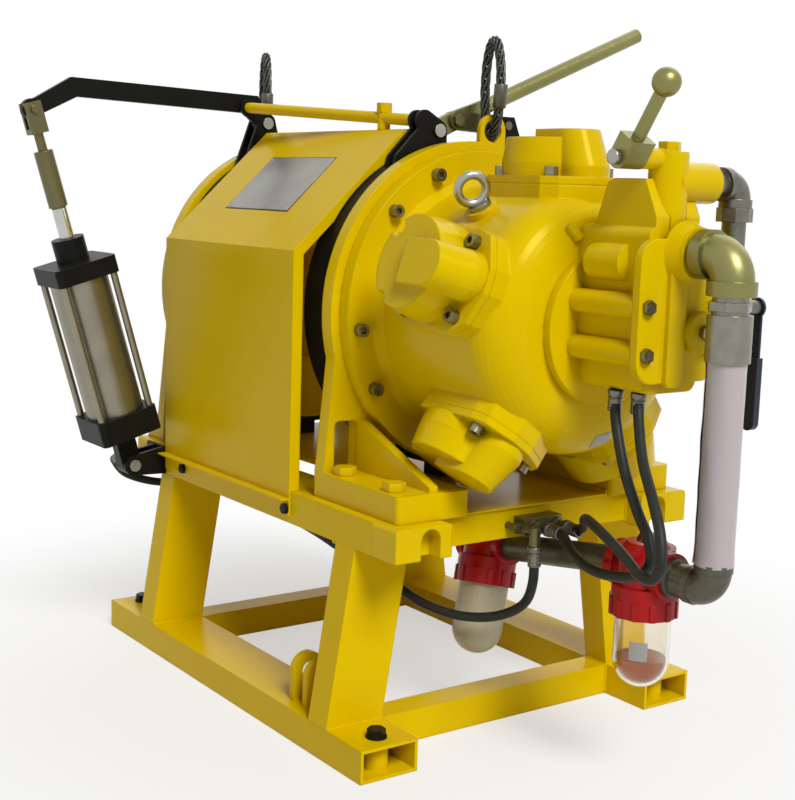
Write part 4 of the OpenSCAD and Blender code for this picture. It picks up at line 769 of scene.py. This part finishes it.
@dataclass
class HoseSet(Assembly):
    """Three rubber hoses with crimped ends, and the manifold that they meet at."""

    NODES: ClassVar[dict[Finish, str]] = {ZINC_DARK: "manifold"}
    diameter: float = 15.0
    routes: dict[str, tuple[Point, ...]] = field(default_factory=lambda: {
        "pilot_hose_1": (
            (596, -40, 575), (596, -40, 558), (606, -46, 528), (640, -60, 472), (684, -76, 425),
            (716, -84, 392), (722, -86, 362), (698, -84, 340), (654, -80, 328), (600, -72, 323),
            (540, -52, 328), (486, -24, 341), (472, -22, 342), (448, -22, 342),
        ),
        "pilot_hose_2": (
            (630, -30, 575), (630, -30, 558), (646, -42, 528), (676, -62, 488), (720, -86, 449),
            (754, -104, 411), (766, -112, 374), (752, -112, 352), (724, -108, 352), (690, -100, 366),
            (650, -92, 380), (600, -74, 388), (552, -44, 382), (500, 4, 354), (472, 14, 342),
            (448, 14, 342),
        ),
        "brake_hose": (
            (447, -44, 318), (447, -44, 262), (426, -44, 222), (385, -62, 196), (335, -92, 188),
            (285, -122, 198), (240, -150, 222), (212, -190, 256), (184, -220, 280), (140, -234, 296),
            (60, -236, 304), (-100, -220, 304), (-200, -176, 302), (-290, -172, 292), (-346, -196, 284),
            (-372, -260, 282), (-386, -318, 300), (-376, -348, 330), (-356, -352, 338), (-327, -352, 338),
        ),
    })

    def crimp(self, label: str, place: Vector, way: Vector) -> Piece:
        """A crimped ferrule with its nut, on the end of a hose.

        Args:
            label: Name of the piece.
            place: End point of the hose.
            way: Direction from the end into the hose.

        Returns:
            The piece.
        """
        out = self.diameter / 2
        outline = [(out - 1.0, 0.5), (out + 3.0, 0.5), (out + 3.6, 1.4), (out + 3.6, 8.0), (out + 3.0, 9.0),
                   (out + 1.2, 9.4), (out + 1.2, 11.0), (out + 2.6, 11.6)]
        for ridge in range(3):
            base = 13.0 + 5.0 * ridge
            outline += [(out + 2.6, base), (out + 1.9, base + 1.2), (out + 1.9, base + 2.2),
                        (out + 2.6, base + 3.4)]
        outline += [(out + 2.6, 30.0), (out + 1.8, 31.0), (out - 1.0, 31.0), (out - 1.0, 0.5)]
        return Bench.lathe(label, outline, place, way, 24)

    def build(self) -> None:
        """Builds the hoses as cords along their routes, with their ferrules."""
        for name, route in self.routes.items():
            line = flowing([mm(*point) for point in route])
            hose = Bench.line(name + "_rubber", line, self.diameter / 2 * MM, sides=5)
            for tag, first, second in (("top", line[0], line[2]), ("low", line[-1], line[-3])):
                ferrule = self.crimp("%s_ferrule_%s" % (name, tag), first, (second - first).normalized())
                self.keep(ferrule, GALV, "galvanised")
            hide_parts(name)
            self.keep(hose, RUBBER, "hose_rubber")


@dataclass
class Skid(Assembly):
    """Welded skid with its tray, pads, lugs and anchor bolts."""

    NODES: ClassVar[dict[Finish, str]] = {
        YELLOW: "rail_front rail_rear base_cross_members legs top_beams top_cross_beams drip_tray "
                "tie_down_lugs",
        CAST_YELLOW: "corner_pads",
        BLACK: "anchor_bolts",
    }
    bead: float = 2.6
    ripple: float = 4.5
    leg_x: tuple[float, float] = (-298.0, 282.0)
    leg_t: float = 50.0
    foot_y: tuple[float, float] = (232.5, 331.0)
    head_y: tuple[float, float] = (190.0, 289.0)
    foot_z: float = 50.0
    head_z: float = 318.0
    cross_x: tuple[float, float] = (-366.0, 350.0)
    cross_z: tuple[float, float] = (322.0, 366.0)
    ear_x: tuple[float, ...] = (230.0, 242.0, 192.0, 204.0)
    ear_y: tuple[float, float] = (-309.0, -256.0)

    def seams(self) -> list[tuple[Point, ...]]:
        """Corner points of the weld seams, in millimetres."""
        seams: list[tuple[Point, ...]] = []
        for x in self.leg_x:
            end = x + self.leg_t
            for s in (-1, 1):
                for (near, far), z in ((self.foot_y, self.foot_z), (self.head_y, self.head_z)):
                    seams.append(((x, s * far, z), (x, s * near, z), (end, s * near, z), (end, s * far, z)))
                y, top = s * self.foot_y[0], self.foot_z - 1.0
                seams.append(((x, y, 2), (x, y, top), (end, y, top), (end, y, 2)))
        for x in self.cross_x:
            end = x + self.leg_t
            for s in (-1, 1):
                y, (low, high) = s * self.head_y[0], self.cross_z
                seams.append(((x, y, high), (x, y, low), (end, y, low), (end, y, high)))
        for x in self.ear_x:
            seams.append(((x, self.ear_y[0], self.foot_z), (x, self.ear_y[1], self.foot_z)))
        return seams

    def build(self) -> None:
        """Lays the weld beads as rows of ripples."""
        beads = []
        for index, seam in enumerate(self.seams()):
            points: list[Vector] = []
            for first, second in zip(seam, seam[1:]):
                start, end = mm(*first), mm(*second)
                count = max(int((end - start).length / (self.ripple * MM)), 2)
                points += [start.lerp(end, k / count) for k in range(count)]
            points.append(mm(*seam[-1]))
            widths = [1.0 + 0.16 * math.sin(2.6 * k) + 0.06 * math.sin(0.7 * k + index)
                      for k in range(len(points))]
            bead = Bench.line("bead_%d" % index, points, self.bead * MM, widths, sides=2)
            beads.append(Bench.meshed(bead))
        self.keep(Bench.join("skid_weld_beads", beads), YELLOW, "yellow_enamel", angle=60.0)


@dataclass
class DrumUnit(Assembly):
    """Pedestals, drum, guard and lifting slings."""

    NODES: ClassVar[dict[Finish, str]] = {
        CAST_YELLOW: "motor_pedestal far_pedestal foot_bolts",
        YELLOW: "drum drum_guard",
        SHAFT: "drum_shaft shaft_bearings",
        BLACK: "guard_bolts",
    }
    rope: float = 16.0
    height: float = 150.0
    width: float = 38.0
    slings: tuple[Point, Point] = ((209.5, 35.0, 0.0), (-349.5, -57.0, -18.0))
    slope: Point = (0.0, 198.0, 188.0)
    slope_foot: Point = (-70.0, -293.0, 742.0)
    plate_up: float = 145.2
    plate_size: tuple[float, float] = (201.0, 125.0)
    border: float = 2.0
    rivet_at: tuple[float, float] = (95.0, 57.0)

    def sling_point(self, angle: float, foot: Vector, turn: float) -> Vector:
        """Point of the rope's centreline at an angle round the loop, whose plane has a turn about Z."""
        across = self.width / 2 * math.sin(angle) * (1 - 0.2 * math.cos(angle))
        rise = self.height / 2 * (1 - math.cos(angle)) * (0.7 + 0.15 * (1 - math.cos(angle)))
        return foot + mm(across * math.cos(turn), across * math.sin(turn), rise)

    def wire_rope(self, label: str, foot: Vector, turn: float) -> Piece:
        """A closed loop of six twisted strands.

        Args:
            label: Name of the piece.
            foot: Lowest point of the centreline.
            turn: Angle of the loop's plane in radians.

        Returns:
            The piece.
        """
        side = Vector((-math.sin(turn), math.cos(turn), 0))
        count, turns, strand = 144, 4, 0.30 * self.rope
        strands = []
        for lay in range(6):
            points = []
            for k in range(count):
                angle = 2 * math.pi * k / count
                here = self.sling_point(angle, foot, turn)
                after, before = (self.sling_point(angle + step, foot, turn) for step in (0.02, -0.02))
                up = (after - before).normalized().cross(side)
                twist = turns * angle + 2 * math.pi * lay / 6
                out = math.cos(twist) * side + math.sin(twist) * up
                points.append(here + out * (self.rope / 2 - strand / 2) * MM)
            line = Bench.line("%s_%d" % (label, lay), points, strand / 2 * MM, closed=True, sides=1)
            strands.append(Bench.meshed(line))
        return Bench.join(label, strands)

    def sleeve(self, label: str, foot: Vector, turn: float) -> Piece:
        """The pressed sleeve that closes the loop, on one leg of the rope."""
        low, high = self.sling_point(1.30, foot, turn), self.sling_point(1.60, foot, turn)
        out = self.rope / 2
        outline = [(out - 1.5, 0), (out + 1.6, 0), (out + 2.6, 1.2), (out + 2.6, 36), (out + 1.6, 37.4),
                   (out - 1.5, 37.4), (out - 1.5, 0)]
        return Bench.lathe(label, outline, low, (high - low).normalized(), 24)

    def build(self) -> None:
        """Builds the slings and the bare plate on the guard."""
        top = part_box("lifting_slings")[0]
        loops, sleeves = [], []
        for tag, (x, y, degrees) in zip(("near", "far"), self.slings):
            foot = Vector((x * MM, y * MM, top[2] + self.rope / 2 * MM))
            turn = math.radians(degrees)
            loops.append(self.wire_rope("sling_rope_" + tag, foot, turn))
            sleeves.append(self.sleeve("sling_sleeve_" + tag, foot, turn))
        ropes = Bench.join("sling_ropes", loops)
        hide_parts("lifting_slings")
        self.keep(ropes, ROPE, "wire_rope", angle=80.0)
        self.keep(Bench.join("sling_sleeves", sleeves), DARK_PIPE, "wire_rope")
        self.plate()

    def plate(self) -> None:
        """The bare metal plate on the slanted face of the guard, with its border and rivets."""
        along = Vector(self.slope).normalized()
        out = Vector((0, -along.z, along.y))
        turn = Matrix((Vector((1, 0, 0)), along, out)).transposed()
        centre = mm(*self.slope_foot) + along * self.plate_up * MM
        wide, high = self.plate_size
        size = mm(wide + 2 * self.border, high + 2 * self.border, 0.9)
        border = Bench.block("guard_plate_border", size, centre + out * 0.45 * MM, turn, 0.25 * MM)
        self.keep(border, PLATE_EDGE, "black_paint")
        sheet = Bench.block("guard_plate", mm(wide, high, 1.0), centre + out * 0.9 * MM, turn, 0.3 * MM)
        self.keep(sheet, PLATE, "cylinder_alloy")
        rivets = []
        for x in (-1, 1):
            for s in (-1, 1):
                over, up = x * self.rivet_at[0], s * self.rivet_at[1]
                place = centre + Vector((over * MM, 0, 0)) + along * (up * MM) + out * 1.3 * MM
                dome = [(0, 1.5), (1.2, 1.35), (2.2, 0.8), (2.7, 0.0), (0, 0)]
                rivets.append(Bench.lathe("rivet", dome, place, out, 16))
        self.keep(Bench.join("guard_plate_rivets", rivets), BRIGHT, "bright_steel")


@dataclass
class BandBrakes(Assembly):
    """Hand brake and automatic brake with their bands, levers and linkages."""

    NODES: ClassVar[dict[Finish, str]] = {
        BLACK: "hand_brake_band auto_brake_band brake_arm",
        LINING: "brake_linings",
        BRIGHT: "brake_pins",
        YELLOW: "tie_bar",
        ZINC: "hand_brake_lever",
        ZINC_DARK: "hand_brake_link",
    }


@dataclass
class SpringCylinder(Assembly):
    """Spring cylinder of the automatic brake, black caps on a bright barrel."""

    NODES: ClassVar[dict[Finish, str]] = {BLACK: "cylinder_bracket"}
    foot: Point = (-0.302, -0.352, 0.338)
    axis: Point = (0.0, -0.27735, 0.96077)
    barrel: tuple[float, float] = (0.1035, 0.3465)
    rod: tuple[float, float] = (0.28, 0.470)

    def dress_nodes(self) -> None:
        """Gives the barrel, caps, rod, sleeve and fork their finishes."""
        super().dress_nodes()
        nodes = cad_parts
        PAINTER.dress(nodes["brake_cylinder"], BLACK, [Band(ALLOY, self.foot, self.axis, *self.barrel)])
        PAINTER.dress(nodes["piston_rod"], ZINC_DARK, [Band(CHROME, self.foot, self.axis, *self.rod)])


@dataclass
class RadialMotor(Assembly):
    """Radial piston motor with its valve housing and throttle."""

    NODES: ClassVar[dict[Finish, str]] = {
        CAST_YELLOW: "motor_case head_1 head_2 head_3 head_4 head_5 valve_housing end_cover",
        BOLT: "motor_bolts",
        ZINC: "throttle_lever",
        BRIGHT: "eyebolt",
    }
    shoulder_x: float = 459.0
    shoulder: tuple[float, float] = (61.0, 66.3)
    shoulder_r: float = 128.7
    drum_z: float = 652.0
    spindle: Point = (0.632, -0.058, 0.889)
    lug: Point = (27.0, 12.5, 22.0)
    sticker_at: tuple[float, float] = (51.0, -82.0)
    sticker_size: tuple[float, float] = (22.0, 11.6)

    def on_case(self, theta: float, phi: float, lift: float = 0.0) -> tuple[Vector, Vector]:
        """A point on the rounded end of the crankcase and the normal there.

        Args:
            theta: Angle along the rounding in degrees, 0 at its largest radius.
            phi: Angle round the shaft in degrees, 0 along +Y and 90 upward.
            lift: Distance outside the surface in millimetres.

        Returns:
            The point and its unit normal.
        """
        c, s = math.cos(math.radians(theta)), math.sin(math.radians(theta))
        round_ = Vector((0.0, math.cos(math.radians(phi)), math.sin(math.radians(phi))))
        normal = (Vector((s / self.shoulder[0], 0, 0)) + round_ * c / self.shoulder[1]).normalized()
        radius = self.shoulder_r + self.shoulder[1] * c
        point = mm(self.shoulder_x + self.shoulder[0] * s, 0, self.drum_z) + round_ * radius * MM
        return point + normal * lift * MM, normal

    def dress_nodes(self) -> None:
        """Gives the castings, bolts and levers their finishes, with the spindle bare."""
        super().dress_nodes()
        bare = Band(BRIGHT, self.spindle, (0, -1, 0), 0.0, 0.06)
        PAINTER.dress(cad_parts["valve_chest"], CAST_YELLOW, [bare])

    def build(self) -> None:
        """Adds the cast lug and the blank sticker on the crankcase."""
        head, normal = self.on_case(64.2, 118.3)
        tail, _ = self.on_case(84.8, 116.0)
        along = (head - tail).normalized()
        across = along.cross(normal).normalized()
        turn = Matrix((along, across, along.cross(across))).transposed()
        centre = (head + tail) / 2 + across * self.lug[1] / 2 * MM
        lug = Bench.block("case_lug", mm(*self.lug), centre, turn, 2.0 * MM)
        self.keep(lug, CAST_YELLOW, "yellow_casting")
        self.keep(self.sticker(), STICKER, "white_bowl", angle=70.0)

    def sticker(self) -> Piece:
        """The blank sticker, bent to the rounded end of the crankcase."""
        Bench.clear()
        bpy.ops.mesh.primitive_grid_add(x_subdivisions=10, y_subdivisions=10, size=1.0)
        piece = Bench.name("case_sticker")
        (theta, phi), (tall, wide) = self.sticker_at, self.sticker_size
        for vertex in piece.data.vertices:
            vertex.co = self.on_case(theta + tall * vertex.co.y, phi + wide * vertex.co.x, 0.45)[0]
        Bench.modify(piece, "SOLIDIFY", thickness=0.3 * MM, offset=0.0)
        return Bench.settle(piece)


@dataclass
class AirLine(Assembly):
    """Pipe run with its elbows, lubricator, filter and ball valve."""

    NODES: ClassVar[dict[Finish, str]] = {
        ZINC: "lower_elbow",
        PIPE: "down_pipe",
        DARK_PIPE: "bottom_elbow transfer_pipe",
        RED: "lubricator_head filter_head",
        CLEAR: "lubricator_bowl sight_dome",
        OIL: "lubricator_oil",
        MILKY: "filter_bowl",
        GALV: "upper_elbow union_nut ball_valve",
        GRIP: "valve_handle",
    }
    pipe: tuple[float, float] = (750.0, 6.0)
    wrap_z: tuple[float, float] = (356.0, 640.0)
    radius: float = 24.6
    bowl: Point = (627.0, 6.0, 211.0)
    label_r: float = 40.35
    label_size: tuple[float, float] = (26.0, 27.0)
    label_angle: float = -52.0

    def build(self) -> None:
        """Adds the film round the down pipe and the blank label on the lubricator bowl."""
        self.keep(self.film(), FILM, "white_bowl", angle=70.0)
        self.keep(self.label(), STICKER, "white_bowl")

    def film(self) -> Piece:
        """Film wound once and a bit round the pipe, with slack folds at its edges."""
        Bench.clear()
        bpy.ops.mesh.primitive_grid_add(x_subdivisions=96, y_subdivisions=72, size=1.0)
        piece = Bench.name("pipe_film")
        (low, high), (x0, y0) = self.wrap_z, self.pipe
        for vertex in piece.data.vertices:
            u, v = vertex.co.x + 0.5, vertex.co.y + 0.5
            angle = math.radians(-150 + 385 * u)
            slack = (0.9 * math.exp(-v / 0.05) + 0.7 * math.exp(-(1 - v) / 0.05)
                     + 1.6 * max(u - 0.93, 0) / 0.07)
            fold = (0.22 * math.sin(7 * angle + 9 * v) + 0.16 * math.sin(31 * v + 2.0 * angle)
                    + 0.12 * math.sin(3 * angle - 17 * v))
            r = (self.radius + 0.9 + 0.7 * u + slack + fold * (0.5 + slack)) * MM
            z = (low + (high - low) * v + 1.6 * math.sin(angle * 2) * (0.5 - v)) * MM
            vertex.co = (x0 * MM + r * math.cos(angle), y0 * MM + r * math.sin(angle), z)
        Bench.modify(piece, "SOLIDIFY", thickness=0.35 * MM, offset=0.0)
        return Bench.settle(piece)

    def label(self) -> Piece:
        """Blank label on the outside of the lubricator bowl."""
        Bench.clear()
        bpy.ops.mesh.primitive_grid_add(x_subdivisions=16, y_subdivisions=4, size=1.0)
        piece = Bench.name("bowl_label")
        for vertex in piece.data.vertices:
            angle = math.radians(self.label_angle) + vertex.co.x * self.label_size[0] / 40.0
            around = Vector((math.cos(angle), math.sin(angle), 0.0)) * self.label_r
            vertex.co = mm(*self.bowl) + (around + Vector((0, 0, self.label_size[1] * vertex.co.y))) * MM
        Bench.modify(piece, "SOLIDIFY", thickness=0.3 * MM, offset=0.0)
        return Bench.settle(piece)


@dataclass(frozen=True)
class Lamp:
    """One soft lamp: where its light comes from and how strong it is."""

    name: str
    azimuth: float
    elevation: float
    strength: float
    spread: float


@dataclass
class Studio:
    """Pale floor and background, soft lamps, and the camera at the photograph's view."""

    azimuth: float = 54.263
    elevation: float = 8.575
    roll: float = 1.759
    focal: float = 1393.70
    width: float = 795.0
    sensor: float = 36.0
    place: Point = (1967.39, -1397.88, 837.77)
    ambient: float = 0.16
    ambient_colour: Rgb = (1.0, 0.88, 0.70)
    floor_colour: Rgb = (0.86, 0.86, 0.85)
    fade: tuple[float, float] = (0.35, 1.35)
    near_white: float = 0.55
    floor_r: float = 14.0
    lamps: tuple[Lamp, ...] = (
        Lamp("key_lamp", 80.0, 46.0, 2.65, 24.0),
        Lamp("rear_lamp", 205.0, 40.0, 0.5, 50.0),
        Lamp("front_lamp", 12.0, 22.0, 0.05, 60.0),
    )

    def camera(self) -> None:
        """Sets the camera where the photograph was taken from."""
        az, roll = math.radians(self.azimuth), math.radians(self.roll)
        back = toward(self.azimuth, self.elevation)
        side = Vector((math.cos(az), math.sin(az), 0.0))
        up = back.cross(side)
        right = side * math.cos(roll) + up * math.sin(roll)
        top = up * math.cos(roll) - side * math.sin(roll)
        data = bpy.data.cameras.new("photo_camera")
        data.sensor_fit = "HORIZONTAL"
        data.sensor_width = self.sensor
        data.lens = self.focal * self.sensor / self.width
        data.clip_end = 60.0
        camera = bpy.data.objects.new("photo_camera", data)
        bpy.context.scene.collection.objects.link(camera)
        turn = Matrix((right, top, back)).transposed().to_4x4()
        camera.matrix_world = Matrix.Translation(mm(*self.place)) @ turn
        bpy.context.scene.camera = camera

    @staticmethod
    def seen(tree: Tree) -> Socket:
        """1 on rays from the camera, from gloss and through glass."""
        path = tree.nodes.new("ShaderNodeLightPath").outputs
        open_rays = maths(tree, "MAXIMUM", path["Is Camera Ray"], path["Is Glossy Ray"])
        return maths(tree, "MAXIMUM", open_rays, path["Is Transmission Ray"])

    def floor(self) -> None:
        """A wide pale floor that fades to white away from the winch and keeps its shadow."""
        Bench.clear()
        bpy.ops.mesh.primitive_circle_add(vertices=96, radius=self.floor_r, fill_type="NGON",
                                          location=(0, 0, -0.5 * MM))
        floor = Bench.name("studio_floor")
        Bench.settle(floor)
        made = bpy.data.materials.new("studio_floor")
        made.use_nodes = True
        tree = made.node_tree
        shader = tree.nodes["Principled BSDF"]
        shader.inputs["Base Color"].default_value = (*self.floor_colour, 1.0)
        shader.inputs["Roughness"].default_value = 0.9
        shader.inputs["Specular IOR Level"].default_value = 0.1
        white = tree.nodes.new("ShaderNodeEmission")
        place = tree.nodes.new("ShaderNodeTexCoord").outputs["Object"]
        far = vector_maths(tree, "LENGTH", place, result="Value")
        fade = tree.nodes.new("ShaderNodeMapRange")
        fade.interpolation_type = "SMOOTHSTEP"
        fade.inputs["From Min"].default_value, fade.inputs["From Max"].default_value = self.fade
        fade.inputs["To Min"].default_value = self.near_white
        tree.links.new(far, fade.inputs["Value"])
        both = maths(tree, "MULTIPLY", self.seen(tree), fade.outputs["Result"])
        mix = tree.nodes.new("ShaderNodeMixShader")
        tree.links.new(both, mix.inputs[0])
        tree.links.new(shader.outputs[0], mix.inputs[1])
        tree.links.new(white.outputs[0], mix.inputs[2])
        tree.links.new(mix.outputs[0], tree.nodes["Material Output"].inputs["Surface"])
        floor.data.materials.append(made)

    def light(self) -> None:
        """Sets the even world light and the lamps."""
        world = bpy.data.worlds.new("studio_world")
        world.use_nodes = True
        tree = world.node_tree
        even = tree.nodes["Background"]
        even.inputs["Color"].default_value = (*self.ambient_colour, 1.0)
        even.inputs["Strength"].default_value = self.ambient
        white = tree.nodes.new("ShaderNodeBackground")
        white.inputs["Color"].default_value = (1.0, 1.0, 1.0, 1.0)
        mix = tree.nodes.new("ShaderNodeMixShader")
        tree.links.new(self.seen(tree), mix.inputs[0])
        tree.links.new(even.outputs[0], mix.inputs[1])
        tree.links.new(white.outputs[0], mix.inputs[2])
        tree.links.new(mix.outputs[0], tree.nodes["World Output"].inputs["Surface"])
        bpy.context.scene.world = world
        for lamp in self.lamps:
            data = bpy.data.lights.new(lamp.name, "SUN")
            data.energy = lamp.strength
            data.angle = math.radians(lamp.spread)
            sun = bpy.data.objects.new(lamp.name, data)
            bpy.context.scene.collection.objects.link(sun)
            sun.rotation_euler = toward(lamp.azimuth, lamp.elevation).to_track_quat("Z", "Y").to_euler()

    def build(self) -> None:
        """Builds the whole studio."""
        self.camera()
        self.floor()
        self.light()
        bpy.context.scene.view_settings.view_transform = "Standard"


def main() -> None:
    """Builds the studio, then each sub-assembly."""
    logging.basicConfig(level=logging.INFO, format="%(message)s")
    Studio().build()
    for kind in (HoseSet, Skid, DrumUnit, BandBrakes, SpringCylinder, RadialMotor, AirLine):
        assembly = kind()
        assembly.dress_nodes()
        assembly.build()


if __name__ == "__main__":
    main()
